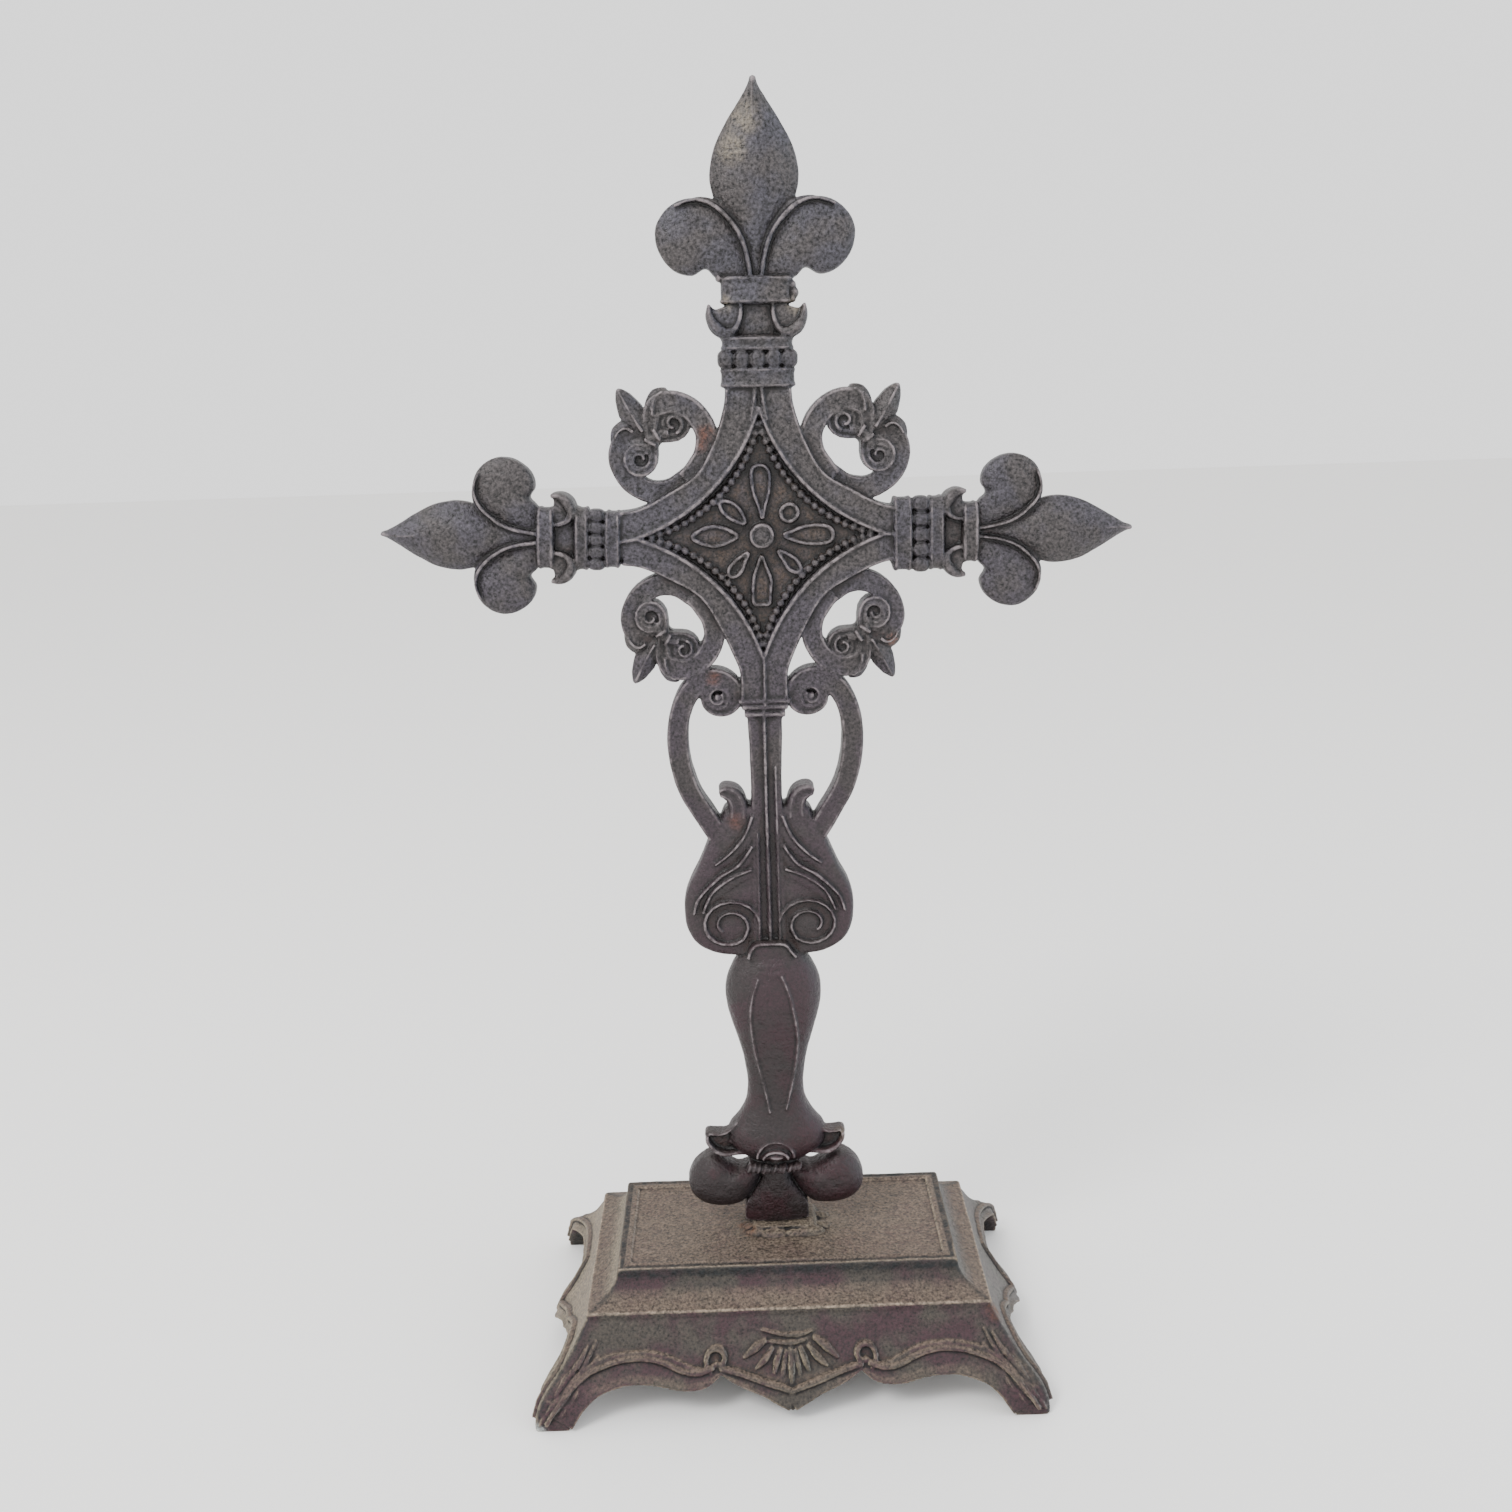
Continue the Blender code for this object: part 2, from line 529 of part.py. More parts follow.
def leaf_body(side):
    """Pear-shaped acanthus leaf beside the stem: hooked tip, three ribs and a scroll."""
    edge = ((3.0, 190.5), (6.0, 191.0), (12.8, 190.4), (15.2, 186.2), (17.9, 181.6), (20.4, 176.0),
            (23.0, 170.0), (25.6, 165.0), (27.3, 160.0), (27.6, 154.6), (26.7, 148.8), (23.8, 143.9),
            (17.5, 140.5), (9.5, 139.3), (3.0, 139.6))
    parts = [plate("leaf", [(side * x, z) for x, z in edge], LEAF_FRONT, LEAF_BACK, 1.7)]
    hook = ((9.4, 187.0), (9.4, 191.0), (10.7, 194.2), (13.2, 195.4), (15.1, 195.1))
    parts.append(sweep("hook", [(side * x, z) for x, z in hook], (3.3, 3.1, 2.7, 2.0, 0.8),
                       strap_section(4.3, 3.9, 1.3)))
    section = ridge_section(1.0, LEAF_FRONT + 0.1, 1.0 - LEAF_FRONT)
    for rib in (((4.6, 186.6), (10.2, 178.9), (17.6, 171.4)), ((4.9, 176.2), (10.6, 169.9), (22.0, 162.0)),
                ((5.2, 168.8), (15.4, 163.2), (22.9, 153.6))):
        path = catmull(rib, 2)
        halves = [0.6 + 0.5 * sin(pi * (i + 1) / (len(path) + 1)) for i in range(len(path))]
        parts.append(sweep("rib", [(side * x, z) for x, z in path], halves, section))
    turns = 8
    spiral = [(12.6 + (8.6 - 4.4 * k / turns) * cos(radians(10 + 52 * k)),
               150.6 + (8.6 - 4.4 * k / turns) * sin(radians(10 + 52 * k))) for k in range(turns + 1)]
    parts.append(sweep("curl", [(side * x, z) for x, z in spiral], [0.8] * len(spiral), section))
    parts.append(dome("eye", side * 12.6, 150.6, 2.6, LEAF_FRONT - 0.2, 1.1, 1.0 - LEAF_FRONT, 6))
    return parts


# Baluster and the fleur it stands on

def baluster_depth(half):
    return 2.6 + 0.42 * half


def baluster():
    rings = []
    for z, half in BALUSTER:
        depth = baluster_depth(half)
        rings.append([(BALUSTER_SHIFT + half * x, -depth * d, z) for x, d in
                      ((1.0, 0.0), (0.86, 0.62), (0.4, 1.0), (-0.4, 1.0), (-0.86, 0.62), (-1.0, 0.0),
                       (-0.84, -0.6), (-0.4, -0.92), (0.4, -0.92), (0.84, -0.6))])
    parts = [loft("baluster", rings)]
    rings = []
    for z, half in PANEL:
        below = [b for b in BALUSTER if b[0] <= z][0]
        above = [b for b in BALUSTER if b[0] > z][-1]
        share = (z - below[0]) / (above[0] - below[0])
        depth = baluster_depth(below[1] + share * (above[1] - below[1]))
        rings.append([(BALUSTER_SHIFT + x, y - depth, z) for x, y in
                      ((-half, 3.5), (half, 3.5), (half - 0.4, -0.55), (0.4 - half, -0.55))])
    parts.append(loft("panel", rings))
    # Cap over the neck
    parts.append(plate("cap", ((-5.7, 144.4), (5.7, 144.4), (7.8, 141.0), (7.0, 139.4), (-7.0, 139.4),
                               (-7.8, 141.0)), 7.0, 5.0, 0.8))
    return parts


def skirt():
    """Flared petals with turned-up tips, the half-round shell and the rope under them."""
    parts = []
    for side in (1, -1):
        petal = ((-1.0, 77.6), (9.0, 78.4), (13.4, 75.8), (17.0, 74.0), (20.8, 74.4), (23.6, 73.2),
                 (23.4, 70.4), (20.9, 67.4), (17.6, 65.4), (14.6, 66.6), (-1.0, 66.7))
        parts.append(plate("petal", [(side * x, z) for x, z in petal], 7.4 + 0.2 * side, 2.0, 2.6))
    shell = arc((0.0, SHELL_Z), SHELL_RADIUS, 0, 180, 8)
    parts.append(plate("shell", [(SHELL_RADIUS, SHELL_Z - 2.6)] + shell + [(-SHELL_RADIUS, SHELL_Z - 2.6)],
                       11.4, 5.0, 1.0))
    small = arc((0.0, SHELL_Z), 0.5 * SHELL_RADIUS, 0, 180, 6)
    parts.append(plate("shell", small, 12.1, 5.0, 0.7))
    path = [(ROPE_HALF * k / 5, ROPE_Z - 0.5 * cos(pi * k / 10)) for k in range(-5, 6)]
    halves = [2.4 if k % 2 else 1.9 for k in range(11)]
    parts.append(sweep("rope", path, halves, round_section(0.5, 8.8, 7.6)))
    return parts


def foot():
    """Fleur turned downwards: two heavy lobes and a spreading middle petal that stands on the seat."""
    lobe = ((4.4, 60.6), (6.6, 63.2), (9.4, 64.7), (12.4, 63.8), (15.4, 64.8), (18.6, 66.6), (22.4, 67.2),
            (26.6, 64.4), (29.1, 60.6), (30.0, 56.6), (28.8, 52.4), (25.0, 49.2), (19.0, 47.8),
            (12.6, 48.6), (8.2, 52.6))
    parts = []
    for side in (1, -1):
        parts.append(pillow("lobe", [(side * x, z) for x, z in lobe], (side * 18.0, 57.0), 2.8, 4.6, 1.4))
    petal = ((64.5, 4.2), (60.5, 4.6), (57.0, 5.6), (53.0, 8.3), (49.5, 10.4), (46.0, 11.0),
             (SEAT_TOP + PIECE_GAP, 10.9))
    rings = []
    for z, half in petal:
        front = 7.6 - 1.0 * (z < 50)
        rings.append([(-half, 5.6, z), (half, 5.6, z), (half, -front + 2.6, z),
                      (0.55 * half, -front + 0.5, z), (0.0, -front, z), (-0.55 * half, -front + 0.5, z),
                      (-half, -front + 2.6, z)])
    parts.append(loft("petal", rings))
    return parts


def make_cross():
    parts = [star()] + stem() + bead_strings() + rosette()
    for sizes in (TOP_ARM, RIGHT_ARM, LEFT_ARM):
        parts += arm(sizes)
    for side in (1, -1):
        parts += corner_scroll(diagonal(side, 1))
        parts += corner_scroll(diagonal(side, -1, SCROLL_LOWER_WIDTH, SCROLL_LOWER_DROP))
        parts += lyre(side) + leaf_body(side)
    parts += baluster() + skirt() + foot()
    return warp(unite("cross", parts), lean)


def lean(x, y, z):
    """Shift and small turn of the whole casting, growing with height."""
    share = max(0.0, (z - SEAT_TOP) / LEAN_REACH)
    turn = -LEAN_FOOT * LEAN_BEND / LEAN_REACH * share ** (LEAN_BEND - 1.0)
    return x + LEAN_FOOT * (1.0 - share ** LEAN_BEND), y, z - x * turn


# Base

def flare(z):
    """How far the apron stands out from the rim rectangle at a height."""
    for (a, high), (b, low) in zip(FLARE, FLARE[1:]):
        if z >= low:
            return a + (b - a) * (high - z) / (high - low)
    return FLARE[-1][0]


def rectangle(offset, z, corner):
    x, y = RIM_X + offset, RIM_Y + offset
    return [(x - corner, -y, z), (x, corner - y, z), (x, y - corner, z), (x - corner, y, z),
            (corner - x, y, z), (-x, y - corner, z), (-x, corner - y, z), (corner - x, -y, z)]


def apron_edge(leg, belly, drop):
    """Half of the scalloped lower edge, from the foot to the point in the middle."""
    return catmull(leg, 2)[:-1] + list(belly[:-1]) + list(drop)


def front_map(sign):
    """Lays flat ornament on the front or back apron."""
    return lambda x, y, z: (x, sign * (RIM_Y + flare(z) - y), z)


def side_map(sign):
    """Lays flat ornament on a side apron."""
    return lambda x, y, z: (sign * (RIM_X + flare(z) - y), x, z)


def edge_strip(half_edge, width, mapping):
    """Raised strip that follows the scalloped edge."""
    lower = list(half_edge) + [(-x, z) for x, z in reversed(half_edge[:-1])]
    path = [(x, z + width) for x, z in lower if z > 4.0]
    section = ((-width, -1.6), (width, -1.6), (width - 0.3, EDGE_RAISE), (0.3 - width, EDGE_RAISE))
    return warp(sweep("strip", path, [width] * len(path), lambda h: section), mapping)


def palmette(mapping):
    """Seven rays under a double-curved line on the front apron."""
    section = ridge_section(1.0, 0.3, 1.6)
    parts = []
    for k in range(-3, 4):
        lean = 0.92 * k
        top = (2.1 * k, 20.6 - 0.28 * k * k)
        low = (4.2 * k, 14.6 + 0.12 * k * k - 1.4 * (k == 0))
        bend = (0.5 * (top[0] + low[0]) + 0.35 * lean, 0.5 * (top[1] + low[1]) + 0.25)
        path = catmull((top, bend, low), 2)[::2] if k == 0 else (top, bend, low)
        parts.append(warp(sweep("ray", path, (0.6, 1.3, 0.6), section), mapping))
    for side in (1, -1):
        brow = ((-0.6, 23.0), (4.0, 23.7), (8.4, 22.6), (12.4, 20.0), (15.2, 17.4))
        path = [(side * x, z) for x, z in brow]
        parts.append(warp(sweep("brow", path, [0.8] * len(path), section), mapping))
        curl = arc((side * 24.0, 18.0), 2.6, 90 - 120 * side, 90 + 150 * side, 6)
        parts.append(warp(sweep("curl", curl, [0.7] * len(curl), section), mapping))
    return parts


def leg_leaf(rim, mapping):
    """Acanthus veins running down both legs of a face, measured in from the corner line."""
    veins = (((5.8, 21.5), (5.5, 16.5), (4.6, 11.0), (3.4, 6.0), (2.2, 2.6)),
             ((2.7, 24.5), (2.7, 19.5), (2.4, 14.5)))
    parts = []
    for side in (1, -1):
        for vein in veins:
            path = [(side * (rim + flare(z) - u), z) for u, z in vein]
            halves = [1.0 - 0.1 * i for i in range(len(path))]
            parts.append(warp(sweep("vein", path, halves, ridge_section(0.9, 0.3, 1.6)), mapping))
    return parts


def make_base():
    outer = [rectangle(o, z, CORNER) for o, z in reversed(FLARE)]
    outer += [rectangle(o, z, CORNER) for o, z in reversed(STEPS)][1:]
    outer += [rectangle(-RIM_WIDTH, STEPS[0][1], CORNER), rectangle(-RIM_WIDTH - 0.6, FIELD_Z, CORNER)]
    body = loft("base", outer)
    inner = [rectangle(FLARE[-1][0] - WALL, -2.0, CORNER)]
    inner += [rectangle(o - WALL * (1.0 + 0.35 * (5 < z < 22)), z, CORNER) for o, z in reversed(FLARE)]
    inner += [rectangle(7.8, 29.0, CORNER), rectangle(3.6, 31.2, CORNER), rectangle(0.6, 33.4, CORNER),
              rectangle(0.0, FIELD_Z - TOP_WALL, CORNER)]
    front_edge = apron_edge(FRONT_LEG, FRONT_BELLY, FRONT_DROP)
    side_edge = apron_edge(SIDE_LEG, SIDE_BELLY, SIDE_DROP)
    cutters = [loft("hollow", inner)]
    far = 100.0
    for edge, turn in ((front_edge, False), (side_edge, True)):
        right = [(edge[0][0] + 0.6, -3.0)] + list(edge)
        outline = right + [(-x, z) for x, z in reversed(right[:-1])]
        prism = plate("scallop", outline, far, far)
        if turn:
            warp(prism, lambda x, y, z: (y, x, z))
        cutters.append(prism)
    parts = [body]
    for sign in (1, -1):
        parts.append(edge_strip(front_edge, EDGE_STRIP, front_map(sign)))
        parts.append(edge_strip(side_edge, SIDE_STRIP, side_map(sign)))
        parts += leg_leaf(RIM_X, front_map(sign))
    parts += palmette(front_map(-1))
    seat = [[(sx * (SEAT_HALF_X + grow), SEAT_BACK if sy > 0 else -SEAT_FRONT - grow, z)
             for sx, sy in ((1, 1), (1, -1), (-1, -1), (-1, 1))]
            for grow, z in ((0.0, FIELD_Z - 1.0), (0.0, SEAT_TOP - 0.6), (-0.6, SEAT_TOP))]
    parts.append(loft("seat", seat))
    return cut(unite("base", parts), cutters)


# Materials and the finished pieces

def iron(name, colour, roughness):
    material = bpy.data.materials.new(name)
    material.use_nodes = True
    shader = material.node_tree.nodes["Principled BSDF"]
    shader.inputs["Base Color"].default_value = (*colour, 1.0)
    shader.inputs["Metallic"].default_value = 0.55
    shader.inputs["Roughness"].default_value = roughness
    return material


def finish(obj, name, material):
    obj.name = name
    obj.data.name = name
    for vertex in obj.data.vertices:
        vertex.co.x += PLACE_X * MM
    obj.data.materials.clear()
    obj.data.materials.append(material)
    bpy.ops.object.select_all(action="DESELECT")
    bpy.context.view_layer.objects.active = obj
    obj.select_set(True)
    bpy.ops.object.shade_smooth()
    obj.data.set_sharp_from_angle(angle=radians(30.0))


for old in list(bpy.data.objects):
    bpy.data.objects.remove(old)

dark_iron = iron("dark_cast_iron", (0.062, 0.055, 0.055), 0.55)
dusty_iron = iron("dusty_cast_iron", (0.135, 0.112, 0.092), 0.62)
finish(lighten(make_cross(), CROSS_SHARE, on_field), "cross", dark_iron)
finish(lighten(make_base(), BASE_SHARE), "base", dusty_iron)
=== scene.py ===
# %% [markdown]
# # A standing cross of cast iron
# The object is a memorial cross that stands on a small four-footed base, cast in iron in two pieces.
# The measured solids come in first. They give the places and outlines that everything below keeps to.
# Each of the two castings is then modelled again with its carving, and takes the place of its solid.

# %% The measured solids
import json
from math import atan, cos, hypot, pi, radians, sin

import bpy
import numpy as np
from mathutils import Matrix, Vector

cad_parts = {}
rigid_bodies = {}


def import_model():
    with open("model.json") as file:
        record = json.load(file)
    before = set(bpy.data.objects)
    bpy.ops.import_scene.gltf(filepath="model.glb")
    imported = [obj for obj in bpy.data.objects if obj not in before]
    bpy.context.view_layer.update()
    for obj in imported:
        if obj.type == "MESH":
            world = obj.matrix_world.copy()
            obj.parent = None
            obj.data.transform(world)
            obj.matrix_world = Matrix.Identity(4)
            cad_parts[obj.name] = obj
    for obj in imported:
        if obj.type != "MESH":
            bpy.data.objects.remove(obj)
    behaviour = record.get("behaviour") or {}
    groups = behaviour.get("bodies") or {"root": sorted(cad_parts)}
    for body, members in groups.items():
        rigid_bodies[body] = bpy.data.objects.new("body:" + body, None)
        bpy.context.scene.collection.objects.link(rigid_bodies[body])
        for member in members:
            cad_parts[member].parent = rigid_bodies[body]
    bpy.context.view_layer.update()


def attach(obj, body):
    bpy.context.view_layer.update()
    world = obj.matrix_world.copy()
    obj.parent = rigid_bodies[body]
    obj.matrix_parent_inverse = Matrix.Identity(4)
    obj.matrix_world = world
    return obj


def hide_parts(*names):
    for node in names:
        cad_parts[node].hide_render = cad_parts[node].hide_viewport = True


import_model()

# %% [markdown]
# ## Working in millimetres
# The forms are drawn in millimetres and made a thousand times smaller once they are finished, because
# the grid that later skins a casting is easier to choose when its cells are near one unit.
# A curve through a few measured points gives every outline and every path.

# %% Curves through measured points
MM = 0.001
CENTRE_Z = 276.8


def smooth(points, steps, closed=False):
    """A smooth curve through the points, with the given number of steps between each two."""
    n = len(points)
    out = []
    for i in range(n if closed else n - 1):
        near = points[i], points[(i + 1) % n]
        before = points[i - 1] if closed or i > 0 else near[0]
        after = points[(i + 2) % n] if closed or i + 2 < n else near[1]
        for k in range(steps):
            t = k / steps
            out.append(tuple(
                0.5 * (2 * b + (c - a) * t + (2 * a - 5 * b + 4 * c - d) * t * t
                       + (3 * b - a - 3 * c + d) * t ** 3)
                for a, b, c, d in zip(before, near[0], near[1], after)))
    if not closed:
        out.append(tuple(points[-1]))
    return out


def arc(centre, radius, start, end, steps):
    """Points on an arc, angles in degrees."""
    turns = [radians(start + (end - start) * k / steps) for k in range(steps + 1)]
    return [(centre[0] + radius * cos(a), centre[1] + radius * sin(a)) for a in turns]


def levels(pairs, steps):
    """Second values of the pairs, read evenly between their first values."""
    at = np.linspace(pairs[0][0], pairs[-1][0], steps)
    return list(np.interp(at, [p[0] for p in pairs], [p[1] for p in pairs]))


print("a curve through three points:", len(smooth(((0, 0), (1, 1), (2, 0)), 4)), "points")

# %% [markdown]
# ## Three ways to make a form
# Cast ornament is mostly bands, cushions and turned members. A band is a grid laid along a path, given
# a section and drawn back to a flat face. A cushion is a filled circle pulled onto its outline, then
# extruded and drawn in step by step. A turned member is a circle extruded and resized ring by ring.
# All three start from a primitive and are shaped in edit mode, so each can be tried by hand as well.

# %% Selecting, moving and joining
def rest():
    """Leaves nothing selected, in object mode."""
    if bpy.context.mode != "OBJECT":
        bpy.ops.object.mode_set(mode="OBJECT")
    bpy.ops.object.select_all(action="DESELECT")


def corners(obj):
    """The corners of a form as an array."""
    flat = np.empty(len(obj.data.vertices) * 3)
    obj.data.vertices.foreach_get("co", flat)
    return flat.reshape(-1, 3)


def put(obj, where):
    """Moves the corners of a form to new places."""
    obj.data.vertices.foreach_set("co", np.asarray(where, dtype=float).ravel())
    obj.data.update()
    return obj


def mapped(obj, mapping):
    """Moves a form by a mapping of x, y and z."""
    return put(obj, np.column_stack(mapping(*corners(obj).T)))


def copied(obj):
    """A second form with its own mesh."""
    rest()
    obj.select_set(True)
    bpy.context.view_layer.objects.active = obj
    bpy.ops.object.duplicate()
    return bpy.context.active_object


def joined(name, forms):
    """One object out of several forms."""
    rest()
    for form in forms:
        form.select_set(True)
    bpy.context.view_layer.objects.active = forms[0]
    if len(forms) > 1:
        bpy.ops.object.join()
    whole = bpy.context.active_object
    whole.name = name
    return whole


def closed(form):
    """Turns every face outward and leaves edit mode."""
    bpy.ops.mesh.select_all(action="SELECT")
    bpy.ops.mesh.normals_make_consistent(inside=False)
    rest()
    return form


# %% A band of relief along a path
def band(name, path, halves, section, back=-1.0):
    """A grid laid along a path, given a section, then drawn back to a flat face."""
    rest()
    count, across = len(path), len(section(1.0))
    bpy.ops.mesh.primitive_grid_add(x_subdivisions=count - 1, y_subdivisions=across - 1, size=2)
    form = bpy.context.active_object
    form.name = name
    grid = corners(form)
    u = np.rint((grid[:, 0] + 1) / 2 * (count - 1)).astype(int)
    v = np.rint((grid[:, 1] + 1) / 2 * (across - 1)).astype(int)
    line = np.array(path, dtype=float)
    along = np.gradient(line, axis=0)
    along /= np.hypot(along[:, 0], along[:, 1])[:, None]
    table = np.array([section(h) for h in halves])[u, v]
    x = line[u, 0] - along[u, 1] * table[:, 0]
    z = line[u, 1] + along[u, 0] * table[:, 0]
    put(form, np.column_stack((x, -table[:, 1], z)))
    bpy.ops.object.mode_set(mode="EDIT")
    bpy.ops.mesh.select_all(action="SELECT")
    bpy.ops.mesh.extrude_region_move(TRANSFORM_OT_translate={"value": (0, 1, 0)})
    bpy.ops.transform.resize(value=(1, 0, 1), center_override=(0, -back, 0))
    return closed(form)


def rolled(front, edge, dish=0.5):
    """Section of a strap: rounded front edges and a middle that lies a little lower."""
    def section(h):
        r = min(edge, 0.5 * h)
        low = front - min(dish, 0.3 * h)
        left = [(-h + r * (1 - cos(a)), front - r * (1 - sin(a))) for a in (0, pi / 6, pi / 3, pi / 2)]
        left.append((-0.5 * (h - r), low))
        return left + [(0.0, low)] + [(-a, d) for a, d in reversed(left)]
    return section


def rounded(edge, rise):
    """Section of a rounded rib: its edges at one depth, its crown above them."""
    def section(h):
        return [(h * sin(a), edge + rise * h * cos(a)) for a in np.linspace(-pi / 2, pi / 2, 7)]
    return section


def keeled(edge, rise):
    """Section of a leaf with a soft keel along its middle."""
    def section(h):
        return [(h * t, edge + rise * h * (1 - abs(t) ** 1.4)) for t in (-1, -0.8, -0.4, 0, 0.4, 0.8, 1)]
    return section


# %% Cushions, plates and turned members
def drawn(name, outline, y):
    """A filled circle pulled onto an outline, left in edit mode with its face selected."""
    rest()
    bpy.ops.mesh.primitive_circle_add(vertices=len(outline), fill_type="NGON")
    form = bpy.context.active_object
    form.name = name
    put(form, [(x, y, z) for x, z in outline])
    bpy.ops.object.mode_set(mode="EDIT")
    bpy.ops.mesh.select_all(action="SELECT")
    return form


def pull(move, scale=(1, 1, 1), about=(0, 0, 0)):
    """Extrudes what is selected and draws it in or out."""
    bpy.ops.mesh.extrude_region_move(TRANSFORM_OT_translate={"value": move})
    if scale != (1, 1, 1):
        bpy.ops.transform.resize(value=scale, center_override=about)


def plate(name, outline, front, back, edge=0.0):
    """A plate with its front edge rounded by insets."""
    form = drawn(name, outline, -back)
    pull((0, back - front + edge, 0))
    for share_in, share_up in ((0.15, 0.5), (0.35, 0.36), (0.5, 0.14)) if edge else ():
        bpy.ops.mesh.inset(thickness=share_in * edge, use_even_offset=False)
        bpy.ops.transform.translate(value=(0, -share_up * edge, 0))
    return closed(form)


def cushion(name, outline, centre, edge, crown, back, flat=0.25):
    """A domed form: straight sides, then steps that close in towards a centre."""
    form = drawn(name, outline, -back)
    pull((0, back - edge, 0))
    last = 1.0
    height = 0.0
    for k in range(1, 8):
        scale = flat + (1 - flat) * cos(pi / 2 * k / 7)
        rise = crown * sin(pi / 2 * k / 7)
        about = (centre[0], 0, centre[1])
        pull((0, height - rise, 0), (scale / last, 1, scale / last), about)
        last, height = scale, rise
    return closed(form)


def bead(name, x, y, z, size):
    """A ball flattened to a size."""
    rest()
    bpy.ops.mesh.primitive_uv_sphere_add(segments=16, ring_count=10, radius=1)
    form = bpy.context.active_object
    form.name = name
    return put(form, corners(form) * size + (x, y, z))


def turned(name, stations, square, sides=32):
    """A member of height, half width and depth at each station, its section between round and square."""
    rest()
    bpy.ops.mesh.primitive_circle_add(vertices=sides, fill_type="NGON")
    form = bpy.context.active_object
    form.name = name
    ring = corners(form)
    ring[:, :2] = np.sign(ring[:, :2]) * np.abs(ring[:, :2]) ** square
    z, half, depth = stations[0]
    put(form, ring * (half, depth, 1) + (0, 0, z))
    bpy.ops.object.mode_set(mode="EDIT")
    bpy.ops.mesh.select_all(action="SELECT")
    for high, wide, deep in stations[1:]:
        pull((0, 0, high - z), (wide / half, deep / depth, 1), (0, 0, high))
        z, half, depth = high, wide, deep
    return closed(form)


trial = band("trial", ((0, 0), (1, 0), (2, 0)), (1, 1, 1), rolled(2, 0.5), 0.0)
print("a trial band has", len(trial.data.vertices), "corners and", len(trial.data.polygons), "faces")
bpy.data.objects.remove(trial)

# %% [markdown]
# ## The star
# The middle of the cross is a four-pointed star with hollow sides. On the real casting it is a flat
# frame around a sunk field, with a thin raised line along the inner edge of the frame. The field is
# cut out of the plate by a Boolean, which keeps its walls crisp, and then the line is laid on.

# %% The frame and its sunk field
FRAME_FRONT, FRAME_BACK = 4.8, -4.4
FLOOR = 2.9


def quarters(side):
    """A closed outline from its upper right quarter, turned into all four."""
    points = []
    for sx, sz, order in ((1, 1, 1), (1, -1, -1), (-1, -1, 1), (-1, 1, -1)):
        points += [(sx * x, CENTRE_Z + sz * z) for x, z in side[::order][:-1]]
    return points


def hollow_side(tip, waist, steps):
    """Arc from the upper tip to the right tip of a star, its hollow side outward."""
    middle = (tip * tip - 2 * waist * waist) / (2 * tip - 4 * waist)
    start = 180 / pi * atan((middle - tip) / middle)
    return arc((middle, middle), hypot(middle, middle - tip), 180 + start, 270 - start, steps)


upper_side = smooth(((9.9, 43.9), (10.5, 38.5), (13.4, 29.6), (19.2, 19.2), (28.6, 13.2),
                     (37.0, 9.0), (43.2, 8.0)), 5)
lower_side = smooth(((43.2, 8.0), (37.0, 9.0), (28.6, 12.8), (19.2, 18.8), (13.0, 29.0),
                     (9.4, 37.0), (7.4, 43.0), (7.4, 52.0)), 5)
right_half = [(x, CENTRE_Z + z) for x, z in upper_side] + [(x, CENTRE_Z - z) for x, z in lower_side[1:]]
star_outline = right_half + [(-x, z) for x, z in reversed(right_half)]


def cut_out(body, cutter):
    """Takes one form out of another, both with their faces outward."""
    for form in (body, cutter):
        rest()
        bpy.context.view_layer.objects.active = form
        bpy.ops.object.mode_set(mode="EDIT")
        closed(form)
    bpy.context.view_layer.objects.active = body
    body.select_set(True)
    modifier = body.modifiers.new("Cut", "BOOLEAN")
    modifier.operation = "DIFFERENCE"
    modifier.solver = "EXACT"
    modifier.object = cutter
    bpy.ops.object.modifier_apply(modifier=modifier.name)
    bpy.data.objects.remove(cutter)
    return body


star = plate("star", star_outline, FRAME_FRONT, FRAME_BACK, 0.8)
cut_out(star, plate("field", quarters(hollow_side(37.5, 13.9, 20)), 8.0, FLOOR))
cut_out(star, plate("back field", quarters(hollow_side(33.5, 12.3, 16)), FRAME_BACK + 1.2, -8.0))
inner_line = quarters(hollow_side(38.4, 14.5, 24))
inner_line.append(inner_line[0])
star_parts = [star, band("line", inner_line, [0.7] * len(inner_line), rounded(4.7, 1.5), 3.0)]
for side in (1, -1):
    for run in (upper_side, [(x, -z) for x, z in lower_side]):
        rim_path = [(side * (x - 0.55), CENTRE_Z + z - 0.45 * (1 if z > 0 else -1)) for x, z in run]
        star_parts.append(band("outer line", rim_path, [0.5] * len(rim_path), rounded(4.6, 1.4), 3.0))
for x_top, x_low in ((-1.0, -2.4), (1.0, 2.4)):
    rib_path = ((x_top, CENTRE_Z + 43.6), (x_low * 0.6, CENTRE_Z + 39.5), (x_low, CENTRE_Z + 34.5))
    star_parts.append(band("tip line", rib_path, (0.6, 0.65, 0.55), rounded(4.8, 1.6), 3.0))
for z_far, side in ((-0.7, 1), (-1.0, -1)):
    rib_path = ((side * 43.4, CENTRE_Z + z_far), (side * 38.0, CENTRE_Z - 0.1))
    star_parts.append(band("tip line", rib_path, (0.6, 0.6), rounded(4.8, 1.6), 3.0))
print("star frame:", len(star.data.polygons), "faces")

# %% [markdown]
# ## Beads along the field
# A row of small beads follows each side of the field. One bead is modelled, a flattened ball, and every
# other bead is a copy of it that is set at an even distance along the arc.

